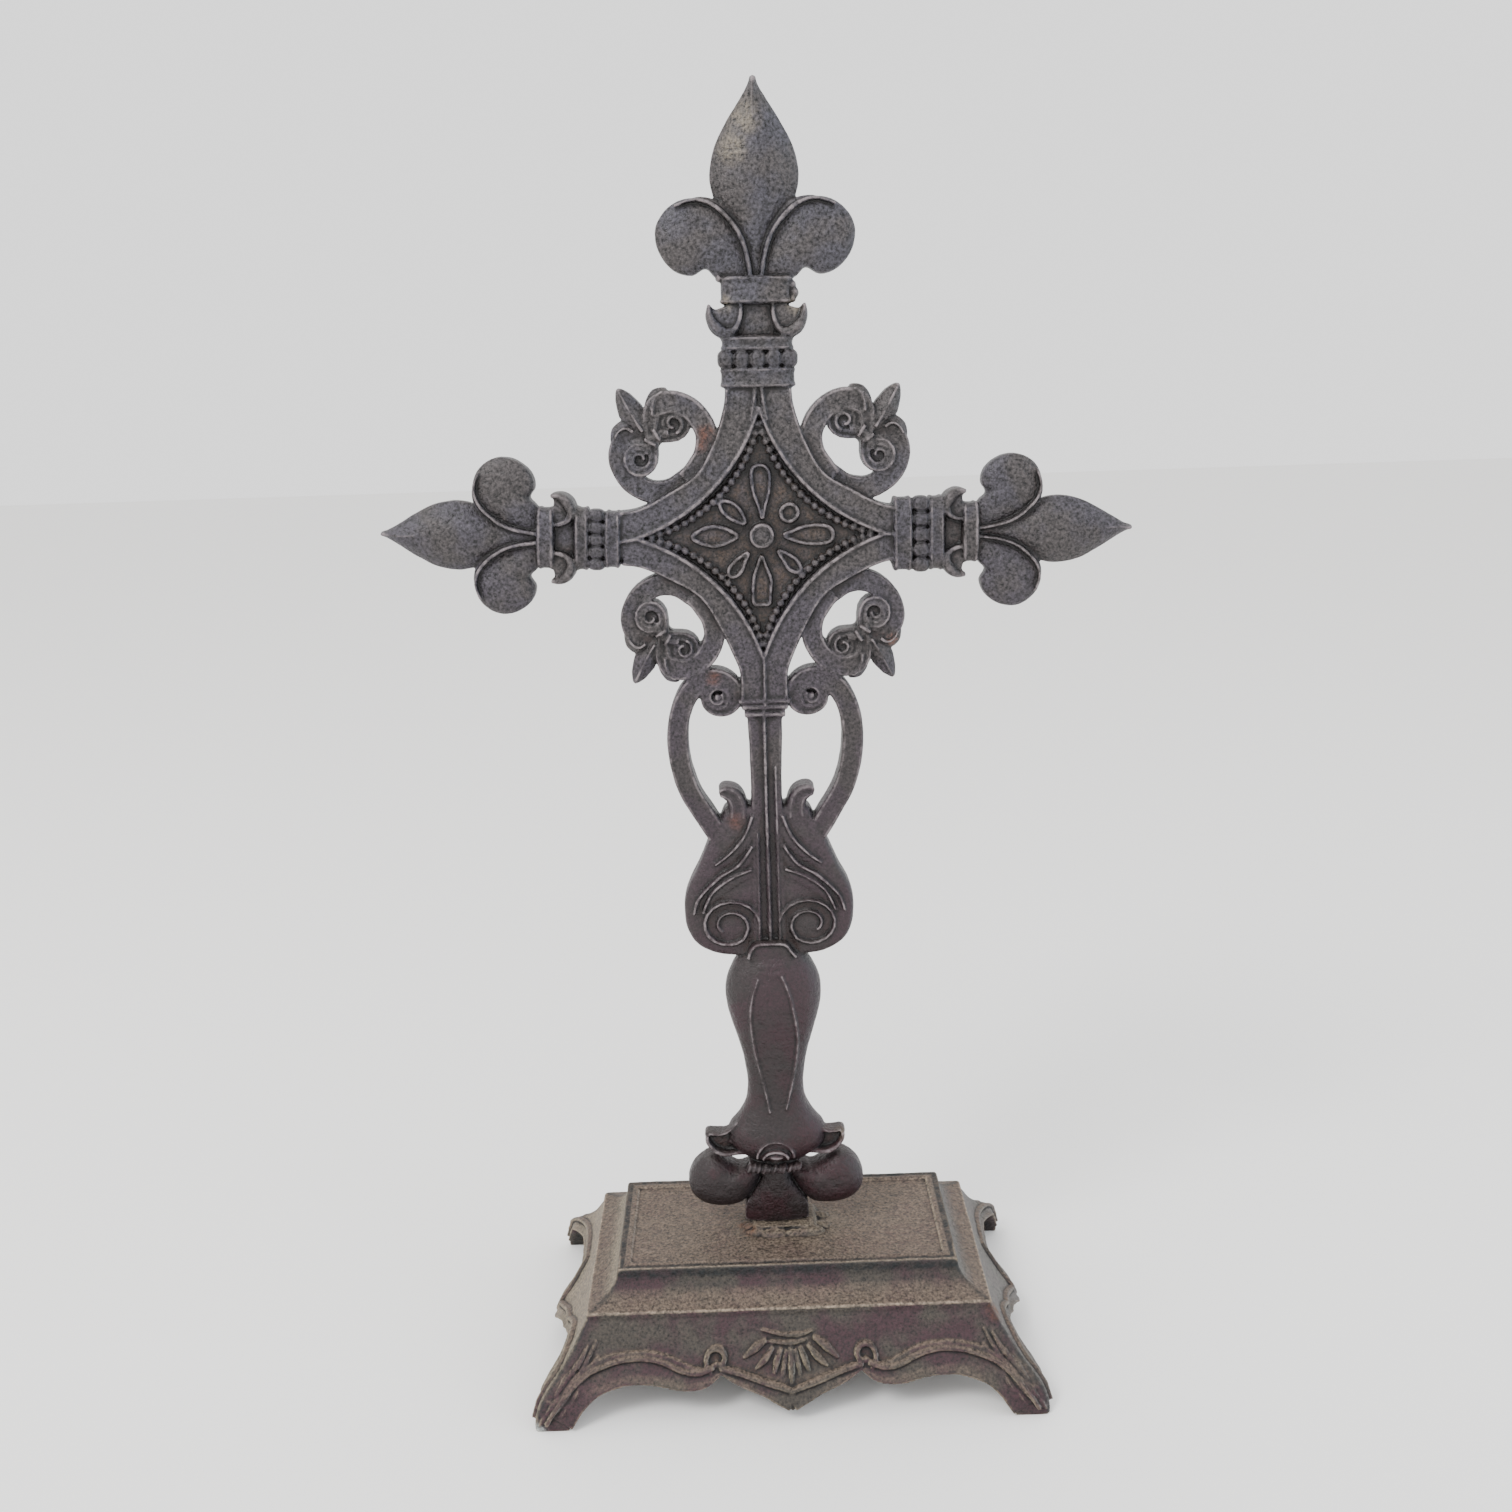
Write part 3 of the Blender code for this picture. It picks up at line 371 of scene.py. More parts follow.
# %% Seventy-six beads
BEADS_A_SIDE = 19
first_bead = bead("bead", 0, 0, 0, (1.25, 1.7, 1.25))
bead_places, bead_spots = [], []
for k in range(BEADS_A_SIDE):
    bead_places.append(hollow_side(34.8, 12.35, 2 * BEADS_A_SIDE)[2 * k + 1])
for index, (x, z) in enumerate(bead_places * 4):
    sx, sz = ((1, 1), (1, -1), (-1, 1), (-1, -1))[index // BEADS_A_SIDE]
    ball = copied(first_bead)
    star_parts.append(put(ball, corners(ball) + (sx * x, -FLOOR - 0.35, CENTRE_Z + sz * z)))
    bead_spots.append((sx * x, -FLOOR - 1.3, CENTRE_Z + sz * z, 2.1))
bpy.data.objects.remove(first_bead)
print("beads:", len(bead_places) * 4)

# %% [markdown]
# ## The rosette
# Eight petals stand about a round boss. The founder's pattern was cut by hand, so no two are quite the
# same: the upper one is rounded outside, the left one is pointed at both ends, the lower one is cut
# square, and one small petal has become a round bud. Each is an outline with a raised rim and a lower,
# slightly domed middle.

# %% Petals and boss
PETALS = (
    (90, ((5.2, -0.5), (8.5, -1.2), (13.5, -2.6), (18.0, -2.9), (20.4, -1.9), (21.2, 0.2),
          (20.2, 2.2), (17.0, 2.6), (12.5, 1.9), (8.5, 0.5))),
    (0, ((6.9, 0.0), (9.6, 1.2), (13.6, 2.6), (18.6, 2.8), (21.4, 1.6), (21.8, -1.0), (19.6, -2.6),
         (14.0, -2.6), (9.6, -1.4))),
    (180, ((7.3, 0.0), (10.6, -2.2), (14.4, -3.1), (18.0, -2.3), (21.0, 0.0), (18.0, 2.1), (14.2, 2.9),
           (10.6, 2.0))),
    (270, ((6.2, 0.0), (9.4, 1.3), (13.6, 2.8), (17.6, 2.5), (20.8, 2.2), (21.1, 0.0), (20.8, -2.5),
           (16.6, -2.8), (12.6, -2.4), (9.0, -1.2))),
    (140, ((6.2, 0.2), (8.6, -1.6), (12.0, -2.3), (15.0, -1.4), (15.8, 0.3), (13.4, 1.8), (9.6, 1.6))),
    (38, ((8.4, 0.0), (9.2, -1.8), (11.0, -2.5), (12.9, -1.8), (13.6, 0.0), (12.8, 1.9), (10.9, 2.5),
          (9.1, 1.8))),
    (231, ((6.6, 0.0), (9.2, 1.0), (12.4, 1.9), (15.0, 1.2), (15.6, -0.4), (13.6, -1.7), (9.8, -1.3))),
    (317, ((7.0, 0.0), (9.6, -0.9), (13.2, -1.8), (15.6, -1.0), (15.7, 0.7), (13.2, 1.7), (9.6, 1.2))),
)
for angle, outline in PETALS:
    c, s = cos(radians(angle)), sin(radians(angle))
    ring = [(r * c - w * s, CENTRE_Z + r * s + w * c) for r, w in smooth(outline, 4, closed=True)]
    middle = (sum(x for x, z in ring) / len(ring), sum(z for x, z in ring) / len(ring))
    star_parts.append(cushion("petal", ring, middle, FLOOR + 0.2, 0.5, 1.0))
    ring.append(ring[0])
    star_parts.append(band("petal rim", ring, [0.55] * len(ring), rounded(FLOOR + 1.0, 1.5), 1.0))
boss_ring = [(x, z) for x, z in arc((0.2, CENTRE_Z), 3.25, 0, 360, 20)]
star_parts.append(cushion("boss", boss_ring[:-1], (0.2, CENTRE_Z), FLOOR + 1.2, 1.0, 1.0, 0.4))
star_parts.append(band("boss ring", boss_ring, [0.6] * 21, rounded(FLOOR + 2.0, 1.5), 1.0))
print("petals:", len(PETALS))

# %% [markdown]
# ## The corner scrolls
# In each corner of the star two straps spring from the frame, cross on the diagonal and curl into each
# other's eye. A cuff wraps the crossing, and a pointed leaf between two buds grows out of it. One scroll
# is modelled in its own two directions, outward and across, and three copies are laid in the corners.

# %% One corner scroll
EYE = (3.2, 7.3)
LOOP = ((-11.1, 2.2), (-11.0, -2.0), (-9.7, -7.6), (-5.4, -12.4), (1.4, -14.0), (7.2, -12.1), (10.0, -8.3),
        (9.7, -4.2), (6.2, -0.8), (2.4, 2.4))
scroll_parts = []
for sign, depth in ((1, 4.3), (-1, 3.7)):
    curl = [(EYE[0] + 3.9 * cos(a), EYE[1] + 3.9 * sin(a)) for a in (radians(-150 - 48 * k) for k in range(7))]
    path = smooth(LOOP, 4)[:-1] + smooth((LOOP[-1],) + tuple(curl), 2)
    halves = levels(((0, 2.9), (5, 3.3), (24, 3.3), (28, 2.5), (36, 1.5), (50, 1.15)), len(path))
    path = [(s, sign * t) for s, t in path]
    scroll_parts.append(band("strap", path, halves, rolled(depth, 0.7), -depth))
    ring = [(x, sign * z) for x, z in arc(EYE, 3.0, 0, 360, 18)]
    scroll_parts.append(cushion("eye", ring[:-1], (EYE[0], sign * EYE[1]), 2.2, 1.0, -3.3, 0.5))
    spiral = [(EYE[0] + r * cos(radians(a)), sign * (EYE[1] + r * sin(radians(a))))
              for a, r in zip(range(-150, -520, -20), np.linspace(3.0, 1.0, 19))]
    scroll_parts.append(band("eye line", spiral, levels(((0, 0.65), (1, 0.5)), 19), rounded(3.4, 1.7), 1.0))
web = ((1.9, 0.0), (0.9, -3.2), (0.2, -8.0), (2.4, -11.6), (6.0, -12.6), (10.0, -9.0), (11.2, -4.0),
       (11.2, 4.0), (10.0, 9.0), (6.0, 12.6), (2.4, 11.6), (0.2, 8.0), (0.9, 3.2))
scroll_parts.append(plate("web", smooth(web, 2, closed=True), 0.6, -2.9, 0.5))
link = smooth(((2.6, 4.6), (4.6, 1.6), (4.4, -1.6), (2.4, -4.4)), 5)
scroll_parts.append(band("link", link, levels(((0, 1.3), (0.5, 1.7), (1, 1.3)), len(link)),
                         rounded(3.2, 0.9), -3.0))
for t in (-1.5, 1.5):
    scroll_parts.append(band("cuff", ((2.6, t * 0.7), (4.5, t), (6.4, t * 1.3)), (0.6, 0.8, 0.6),
                             rounded(4.3, 1.4), -3.0))
for path, halves, edge in (
        (((6.4, 0.9), (10.6, 0.2), (15.2, -1.0), (19.4, -2.3), (22.2, -3.1)), (1.6, 3.3, 3.7, 2.4, 0.35), 3.6),
        (((7.6, -3.0), (11.2, -6.8), (12.3, -10.2), (11.4, -13.0)), (1.6, 2.5, 2.2, 0.7), 3.1),
        (((8.2, 2.6), (12.4, 3.4), (13.3, 6.4), (12.0, 9.8)), (1.6, 2.5, 2.2, 0.7), 3.3)):
    fine = smooth(path, 4)
    scroll_parts.append(band("leaf", fine, levels(list(zip(range(len(path)), halves)), len(fine)),
                             keeled(edge - 1.4, 0.75), -edge))
    scroll_parts.append(band("vein", fine[2:-2], levels(((0, 0.5), (1, 0.25)), len(fine) - 4),
                             rounded(edge + 1.0, 1.3), 0.0))
scroll = joined("corner scroll", scroll_parts)
print("one scroll:", len(scroll.data.polygons), "faces")

# %% Four scrolls in the corners
corner_scrolls = []
for sx, sz, width, drop in ((1, 1, 1.0, 0.0), (-1, 1, 1.0, 0.0), (1, -1, 0.965, 0.8), (-1, -1, 0.965, 0.8)):
    def to_corner(s, y, t):
        """Outward and across become right and up."""
        return (sx * width * (28.6 + (s + t) * 0.5 ** 0.5), y,
                CENTRE_Z + sz * (26.5 + (s - t) * 0.5 ** 0.5) - drop)
    corner_scrolls.append(mapped(copied(scroll), to_corner))
bpy.data.objects.remove(scroll)
print("scrolls:", len(corner_scrolls))

# %% [markdown]
# ## The three arms
# An arm is a turned collar of rings with a row of beads, two cupped leaves, and a fleur. The collars
# differ a little in size on the real cross, so each is turned from its own stations. The fleur is
# modelled once, at the size of the top one, and resized for the sides.

# %% The fleur
PETAL = ((-1.5, 1.7), (4.5, 2.2), (9.5, 4.0), (15.5, 7.6), (21.5, 11.4), (28.0, 12.7),
         (35.5, 11.3), (42.0, 8.0), (48.0, 4.1), (52.4, 1.5), (54.6, 0.8))
LOBE = ((-1.2, 1.2), (8.0, 3.4), (15.6, 7.0), (20.8, 12.4), (22.1, 18.6), (19.6, 24.8),
        (14.0, 28.5), (7.6, 28.0), (2.2, 24.0), (0.5, 18.6), (2.4, 14.4), (-0.6, 10.6))
LOBE_LINE = ((-1.0, 1.5), (6.0, 2.6), (11.4, 4.4), (16.0, 7.6), (20.0, 12.2), (21.3, 17.6), (19.6, 23.0))


def petal_section(h):
    """Dome with a soft keel, thinner at the edges."""
    return [(h * t, 1.2 + (1.4 + 0.24 * h) * (1 - abs(t) ** 2.2))
            for t in (-1, -0.92, -0.75, -0.5, -0.25, 0, 0.25, 0.5, 0.75, 0.92, 1)]


outline = smooth(PETAL, 5)
fleur_parts = [band("petal", [(u, 0.0) for u, h in outline], [h for u, h in outline], petal_section, -1.9)]
keel = band("keel", [(u, 0.3 * sin(0.3 * u)) for u in range(38, 55)], levels(((0, 0.3), (1, 0.8)), 17), rounded(-0.1, 1.0), -1.0)
crown = [2.6 + 0.24 * h for u, h in outline]
fleur_parts.append(mapped(keel, lambda u, y, v: (u, y - np.interp(u, [o[0] for o in outline], crown), v)))
for side in (1, -1):
    ring = [(u, side * v) for u, v in smooth(LOBE, 4, closed=True)]
    fleur_parts.append(cushion("lobe", ring, (11.4, side * 17.6), 1.4, 2.9, -2.6, 0.12))
    line = [(u, side * v) for u, v in smooth(LOBE_LINE, 4)]
    halves = levels(((0, 0.65), (0.4, 0.75), (1, 0.4)), len(line))
    fleur_parts.append(band("lobe line", line, halves, rounded(4.1, 1.5), 0.0))
    fleur_parts.append(band("lobe edge", [(u + 0.2, v - side * 0.9) for u, v in line],
                            levels(((0, 0.6), (0.5, 1.5), (1, 0.4)), len(line)), rounded(2.4, 0.5), 0.0))
fleur = joined("fleur", fleur_parts)
print("fleur:", len(fleur.data.polygons), "faces")

# %% Collars, cupped leaves and fleurs on the arms
ARMS = (
    {"origin": (0.0, 320.5), "angle": 90.0, "beads": 5, "bead_row": (6.0, 11.0, 11.9), "neck": 6.4,
     "rings": ((0.3, 6.0, 11.4), (11.0, 15.0, 10.9), (24.3, 32.0, 10.9)),
     "horn": (14.6, 24.2, 15.1), "fleur": (32.0, 1.0, 1.02),
     "burrs": ((29.4, -10.7, 1.3), (27.2, -11.3, 1.6), (25.6, -10.8, 1.2), (31.6, 11.0, 1.2))},
    {"origin": (40.2, 276.2), "angle": 0.4, "beads": 5, "bead_row": (6.1, 11.1, 11.6), "neck": 6.0,
     "rings": ((0.3, 5.9, 11.5), (11.1, 15.6, 11.5), (21.4, 26.2, 9.4)),
     "horn": (15.2, 22.2, 13.6), "fleur": (26.9, 0.858, 0.812), "burrs": ()},
    {"origin": (-42.9, 276.4), "angle": 177.4, "beads": 5, "bead_row": (4.9, 9.8, 9.3), "neck": 5.8,
     "rings": ((0.2, 4.8, 8.9), (9.8, 13.9, 9.8), (20.4, 25.4, 9.6)),
     "horn": (13.8, 21.2, 13.9), "fleur": (25.9, 0.87, 0.83), "burrs": ()},
)
COLLAR_DEPTH = 6.4
HORN = ((1.0, 0.28), (0.5, 0.3), (0.1, 0.42), (-0.04, 0.62), (0.16, 0.88), (0.6, 1.0), (1.02, 0.95),
        (0.86, 0.82), (0.94, 0.6))
HORN_LIP = ((1.0, 0.93), (0.66, 0.92), (0.36, 0.82), (0.16, 0.62), (0.26, 0.44), (0.6, 0.33), (0.98, 0.31))


def swelling(start, end, half, depth):
    """Stations of one rounded ring of a turning."""
    edge = min(0.75, 0.25 * (end - start))
    steps = ((0.0, 1.5), (0.05, 0.8), (0.35, 0.3), (1.0, 0.0))
    rise = [(start + edge * u, half - 0.9 * v, depth - 0.9 * v) for u, v in steps]
    dip = [(start + 1.5, half - 0.4, depth - 0.5), (end - 1.5, half - 0.4, depth - 0.5)] if end - start > 3.8 else []
    return rise + dip + [(end - edge * u, half - 0.9 * v, depth - 0.9 * v) for u, v in reversed(steps)]


def collar(sizes):
    """Rings, bead row and neck, turned in one go and then laid along the arm."""
    first, second, third = sizes["rings"]
    row_start, row_end, row_half = sizes["bead_row"]
    stations = [(-2.2, 5.0, 3.6)] + swelling(*first, COLLAR_DEPTH)
    stations += [(row_start + 0.3, row_half - 1.6, COLLAR_DEPTH - 2.6),
                 (row_end - 0.3, row_half - 1.6, COLLAR_DEPTH - 2.6)]
    stations += swelling(*second, COLLAR_DEPTH)
    stations += [(second[1] + 0.6, sizes["neck"], COLLAR_DEPTH - 3.0),
                 (third[0] - 0.4, sizes["neck"], COLLAR_DEPTH - 3.0)]
    stations += swelling(*third, COLLAR_DEPTH - 0.2)
    form = turned("collar", stations, 0.55)
    return mapped(form, lambda v, d, u: (u, d, v))


arms = []
for sizes in ARMS:
    parts = [collar(sizes)]
    start, end, half = sizes["bead_row"]
    pitch = 2 * half / sizes["beads"]
    for k in range(sizes["beads"]):
        v = -half + pitch * (k + 0.5)
        lump = bead("bead", 0, 0, 0, (1, 1, 1))
        shape = corners(lump)
        put(lump, np.sign(shape) * np.abs(shape) ** 0.66 * ((end - start) / 2 + 0.1, 3.6, pitch / 2 + 0.06)
            + ((start + end) / 2, -COLLAR_DEPTH + 3.4, v))
        parts.append(lump)
    start, end, reach = sizes["horn"]
    for side in (1, -1):
        ring = [(start + (end - start) * u, side * reach * v) for u, v in smooth(HORN, 4, closed=True)]
        middle = (start + (end - start) * 0.45, side * reach * 0.68)
        parts.append(cushion("cup", ring, middle, COLLAR_DEPTH - 2.6, 0.5, -3.6, 0.6))
        lip = [(start + (end - start) * u, side * reach * v) for u, v in smooth(HORN_LIP, 4)]
        halves = levels(((0, 0.5), (0.35, 1.6), (0.55, 1.3), (0.75, 0.7), (1, 0.5)), len(lip))
        parts.append(band("cup lip", lip, halves, rounded(COLLAR_DEPTH - 1.7, 1.1), 0.0))
    for u, v, size in sizes["burrs"]:
        parts.append(bead("burr", u, -2.0, v, (size, 2.4, 0.8 * size)))
    start, along, across = sizes["fleur"]
    flower = copied(fleur)
    parts.append(mapped(flower, lambda u, y, v: (start + along * u, y, across * v)))
    x, z = sizes["origin"]
    c, s = cos(radians(sizes["angle"])), sin(radians(sizes["angle"]))
    for k in range(sizes["beads"]):
        u, v = (sizes["bead_row"][0] + sizes["bead_row"][1]) / 2, -half + pitch * (k + 0.5)
        bead_spots.append((x + u * c - v * s, -COLLAR_DEPTH, z + u * s + v * c, 3.6))
    whole = joined("arm", parts)
    arms.append(mapped(whole, lambda u, y, v: (x + u * c - v * s, y, z + u * s + v * c)))
bpy.data.objects.remove(fleur)
print("arms:", len(arms))

# %% [markdown]
# ## The stem
# Under the star the two lower straps of the frame run together into a stem of two bands with a rib
# between them. A thin fillet with a small moulding under it crosses the stem where the bows meet it.
# Lower down a finer rib follows each edge.

# %% Stem, rib and fillet
STEM = ((228.0, 7.4), (225.0, 7.5), (220.5, 5.5), (200.0, 4.9), (160.0, 5.3), (140.6, 5.6))
stem_path = [(0.0, z) for z in np.linspace(228.0, 140.6, 40)]
stem_halves = [float(np.interp(z, [s[0] for s in STEM[::-1]], [s[1] for s in STEM[::-1]])) for _, z in stem_path]
stem_parts = [band("stem", stem_path, stem_halves, rolled(4.6, 0.9), -4.1)]
stem_parts.append(band("rib", [(0.1, 239.6), (0.1, 224.0)], [0.55, 0.6], rounded(4.8, 1.6), 3.0))
stem_parts.append(band("rib", [(-0.3, 224.0), (-0.2, 190.0), (0.2, 143.6)], [0.55, 0.6, 0.65], rounded(4.4, 1.7), 3.0))
for x_top, x_low, z_top in ((3.0, 3.3, 204.0), (-3.2, -3.4, 182.0)):
    stem_parts.append(band("edge rib", [(x_top, z_top), (x_low, 143.6)], [0.45, 0.5], rounded(4.3, 1.7), 3.0))
for z, half, thick, depth in ((225.3, 8.1, 0.55, 5.2), (223.4, 7.2, 0.9, 4.4), (221.0, 6.4, 0.9, 4.4)):
    stem_parts.append(band("fillet", [(-half, z), (half, z)], [thick, thick], rounded(depth, 1.1), -3.6))
print("stem parts:", len(stem_parts))

# %% [markdown]
# ## The lyre
# A bow leaves the leaf on each side, swells out and curls in under the star, where a volute fills its
# end. One side is modelled and the other is its mirrored copy.

# %% Bows and volutes
BOW = ((15.9, 181.2), (20.2, 188.4), (24.3, 195.6), (26.7, 203.2), (27.7, 211.4), (27.0, 220.0),
       (23.9, 227.6), (18.8, 232.0), (13.8, 232.3), (10.0, 229.6), (9.2, 225.6), (11.5, 222.6),
       (15.2, 222.1), (18.3, 224.2), (18.6, 227.6), (16.4, 229.4))
bow_path = smooth(BOW, 4)
bow_halves = levels(((0, 3.35), (28, 3.3), (34, 3.0), (42, 2.2), (48, 1.6), (60, 0.8)), len(bow_path))
lyre_parts = [band("bow", bow_path, bow_halves, rolled(4.2, 0.8), -3.8)]
ring = arc((14.6, 226.4), 3.9, 0, 360, 18)
lyre_parts.append(cushion("volute", ring[:-1], (14.6, 226.4), 1.2, 0.8, -3.2, 0.5))
spiral = [(14.7 + r * cos(radians(a)), 226.5 + r * sin(radians(a)))
          for a, r in zip(range(215, -230, -20), np.linspace(3.4, 1.5, 23))]
lyre_parts.append(band("spiral", spiral, levels(((0, 0.7), (1, 0.6)), len(spiral)), rounded(3.2, 1.7), 0.0))
lyre_parts.append(bead("volute eye", 14.7, -2.6, 226.4, (1.3, 1.6, 1.3)))
bow_right = joined("lyre bow", lyre_parts)
bow_left = mapped(copied(bow_right), lambda x, y, z: (-x, y, z))
print("one bow:", len(bow_right.data.polygons), "faces")

# %% [markdown]
# ## The leaves
# A pear-shaped acanthus leaf stands on each side of the stem's foot. Its tip hooks outward, three ribs
# sweep down over it like folds, and a scroll ends them. Each fold is a cushion with a rib on its upper
# edge, so that the light catches the rib and leaves the side under it dark.

# %% Leaf with folds and scroll
LEAF = ((3.0, 190.5), (6.0, 191.0), (12.8, 190.4), (15.2, 186.2), (17.9, 181.6), (20.4, 176.0),
        (23.0, 170.0), (25.6, 165.0), (27.3, 160.0), (27.6, 154.6), (26.7, 148.8), (23.8, 143.9),
        (17.5, 140.5), (9.5, 139.3), (3.0, 139.6))
leaf_ring = smooth(LEAF[1:14], 4) + [LEAF[14], LEAF[0]]
leaf_parts = [plate("leaf", leaf_ring, 4.2, -4.2, 2.2)]
HOOK = ((9.4, 187.0), (9.4, 191.0), (10.7, 194.2), (13.2, 195.4), (15.1, 195.1))
hook_path = smooth(HOOK, 4)
leaf_parts.append(band("hook", hook_path, levels(((0, 3.3), (0.5, 2.8), (0.8, 2.1), (1, 0.9)), len(hook_path)),
                       rolled(4.6, 1.5), -3.9))
for fold in (((4.8, 187.8), (7.6, 181.0), (12.4, 175.4), (17.2, 171.6)),
             ((5.0, 177.8), (9.4, 171.6), (16.0, 167.4), (22.6, 160.6), (24.6, 155.0)),
             ((5.4, 169.8), (12.0, 167.2), (18.2, 162.4), (21.6, 155.4))):
    path = smooth(fold, 5)
    body_path = [(x - 0.5, z - 1.3) for x, z in path]
    leaf_parts.append(band("fold", body_path, levels(((0, 0.9), (0.4, 2.1), (1, 0.5)), len(path)),
                           rounded(4.1, 0.45), 1.0))
    leaf_parts.append(band("fold rib", path, levels(((0, 0.45), (0.5, 0.55), (1, 0.4)), len(path)),
                           rounded(4.9, 1.9), 1.0))
spiral = [(13.0 + 1.12 * r * cos(radians(a)), 150.8 + r * sin(radians(a)))
          for a, r in zip(range(172, -420, -20), list(np.linspace(8.8, 6.2, 16)) + list(np.linspace(5.6, 3.0, 14)))]
leaf_parts.append(band("scroll", spiral, levels(((0, 0.45), (0.4, 0.6), (1, 0.45)), len(spiral)),
                       rounded(4.6, 1.8), 1.0))
ring = arc((13.4, 150.2), 2.9, 0, 360, 16)
leaf_parts.append(cushion("scroll eye", ring[:-1], (13.4, 150.2), 3.6, 0.8, 1.0, 0.5))
leaf_right = joined("leaf", leaf_parts)
leaf_left = mapped(copied(leaf_right), lambda x, y, z: (-x, y, z))
print("one leaf:", len(leaf_right.data.polygons), "faces")

# %% [markdown]
# ## The baluster
# The stem stands on a vase-shaped baluster, turned from its measured profile. A cap with a bright edge
# and a creased fold close its neck, and two thin raised lines draw a long panel on its front.

# %% Turned body, cap and panel lines
SHIFT = 0.7
PROFILE = ((144.2, 5.2), (141.5, 8.6), (139.0, 11.4), (135.0, 13.7), (130.5, 15.5), (125.5, 15.9),
           (119.5, 15.1), (112.0, 13.0), (104.0, 10.8), (96.0, 9.6), (90.5, 9.5), (86.0, 10.4),
           (81.0, 12.9), (76.0, 16.6), (70.5, 15.4), (64.6, 7.4))


def vase_half(z):
    """Half width of the baluster at a height."""
    return float(np.interp(z, [p[0] for p in PROFILE[::-1]], [p[1] for p in PROFILE[::-1]]))


def vase_depth(z, x):
    """How far the baluster's front stands out at a height and a distance from its middle."""
    half = vase_half(z)
    return (2.6 + 0.42 * half) * max(0.0, 1 - abs(x / half) ** 2.5) ** 0.4


stations = [(z, half, 2.6 + 0.42 * half) for z, half in smooth(PROFILE, 3)]
body = turned("baluster", stations, 0.8)
baluster_parts = [mapped(body, lambda x, y, z: (x + SHIFT, y, z))]
for line in (((-4.9, 133.6), (-7.0, 127.5), (-7.9, 120.3), (-7.4, 112.0), (-6.3, 104.2), (-4.0, 94.0), (-2.2, 84.5)),
             ((2.6, 134.4), (4.9, 128.6), (6.3, 122.0), (7.4, 114.0), (7.4, 107.0), (5.8, 96.0), (3.3, 85.5))):
    path = smooth(line, 4)
    form = band("panel line", path, levels(((0, 0.4), (0.2, 0.5), (1, 0.4)), len(path)), rounded(0.1, 1.4), -1.0)
    depths = [vase_depth(z, x) for x, y, z in corners(form)]
    baluster_parts.append(put(form, corners(form) - np.column_stack((np.zeros(len(depths)), depths, np.zeros(len(depths))))
                              + (SHIFT, 0, 0)))
cap = ((-4.6, 144.6), (4.8, 144.6), (7.2, 141.0), (7.0, 139.0), (-7.0, 139.0), (-7.0, 141.0))
baluster_parts.append(plate("cap", cap, 7.0, -5.0, 0.9))
cap_edge = ((-7.2, 140.0), (-6.4, 142.6), (-4.4, 144.7), (0.0, 145.0), (4.6, 144.7), (6.6, 142.4), (8.4, 140.2))
baluster_parts.append(band("cap edge", smooth(cap_edge, 3), [0.55] * 19, rounded(7.1, 1.8), 3.0))
for crease in (((-10.6, 138.6), (-5.0, 137.4), (0.0, 136.9), (5.0, 137.5), (10.2, 139.0)),
               ((-7.0, 135.9), (0.0, 134.9), (7.0, 136.3))):
    path = smooth(crease, 4)
    form = band("crease", path, levels(((0, 0.5), (0.5, 1.3), (1, 0.5)), len(path)), rounded(-0.3, 0.6), -2.0)
    depths = [vase_depth(z, x) for x, y, z in corners(form)]
    baluster_parts.append(put(form, corners(form) - np.column_stack((np.zeros(len(depths)), depths, np.zeros(len(depths))))
                              + (SHIFT, 0, 0)))
print("baluster:", len(body.data.polygons), "faces")

# %% [markdown]
# ## Skirt, shell and rope
# The baluster spreads into two petals with turned-up rims. A half-round shell covers the middle, and a
# twisted rope ties it all above the foot.

# %% Petals with rims, shell and rope
SKIRT = ((-1.0, 82.0), (9.4, 83.2), (12.6, 79.0), (15.8, 76.3), (19.4, 76.0), (22.6, 76.3),
         (23.8, 75.0), (23.0, 72.4), (20.7, 69.4), (17.8, 67.2), (13.0, 68.6), (7.0, 66.7), (-1.0, 66.7))
skirt_ring = smooth(SKIRT[1:12], 4) + [SKIRT[12], SKIRT[0]]
skirt_right = [plate("petal", skirt_ring, 3.4, -1.2, 1.0)]
skirt_right.append(cushion("swell", smooth(((4.0, 84.0), (9.6, 81.0), (13.6, 76.0), (16.0, 72.6), (12.0, 70.6),
                                            (4.0, 71.0)), 4, closed=True), (9.0, 75.6), 3.6, 2.2, 0.0, 0.3))
for rim, half, high in ((((23.0, 75.4), (22.6, 73.2), (20.4, 70.4), (17.2, 68.9), (12.6, 69.2), (8.4, 69.0)), 0.95, 5.4),
                        (((12.4, 79.8), (15.4, 76.7), (18.8, 75.5), (22.4, 75.7)), 0.6, 4.2)):
    rim = smooth(rim, 4)
    skirt_right.append(band("rim", rim, levels(((0, 0.6 * half), (0.5, half), (1, 0.6 * half)), len(rim)),
                            rounded(high, 1.2), 0.0))
petal_right = joined("skirt petal", skirt_right)
petal_left = mapped(copied(petal_right), lambda x, y, z: (-x, y, z))
shell_parts = []
for radius, flatten, depth in ((6.2, 0.98, 8.6), (4.2, 0.66, 9.6)):
    half_moon = [(x, 68.8 + (z - 68.8) * flatten) for x, z in arc((0.0, 68.8), radius, 0, 180, 14)]
    shell_parts.append(cushion("shell", half_moon, (0.0, 70.0), depth, 0.5, -5.0, 0.5))
    shell_parts.append(band("shell edge", half_moon, [0.5] * 15, rounded(depth + 0.7, 1.6), 4.0))
shell_parts.append(bead("lens", 0.2, -10.0, 69.6, (2.6, 1.4, 0.8)))
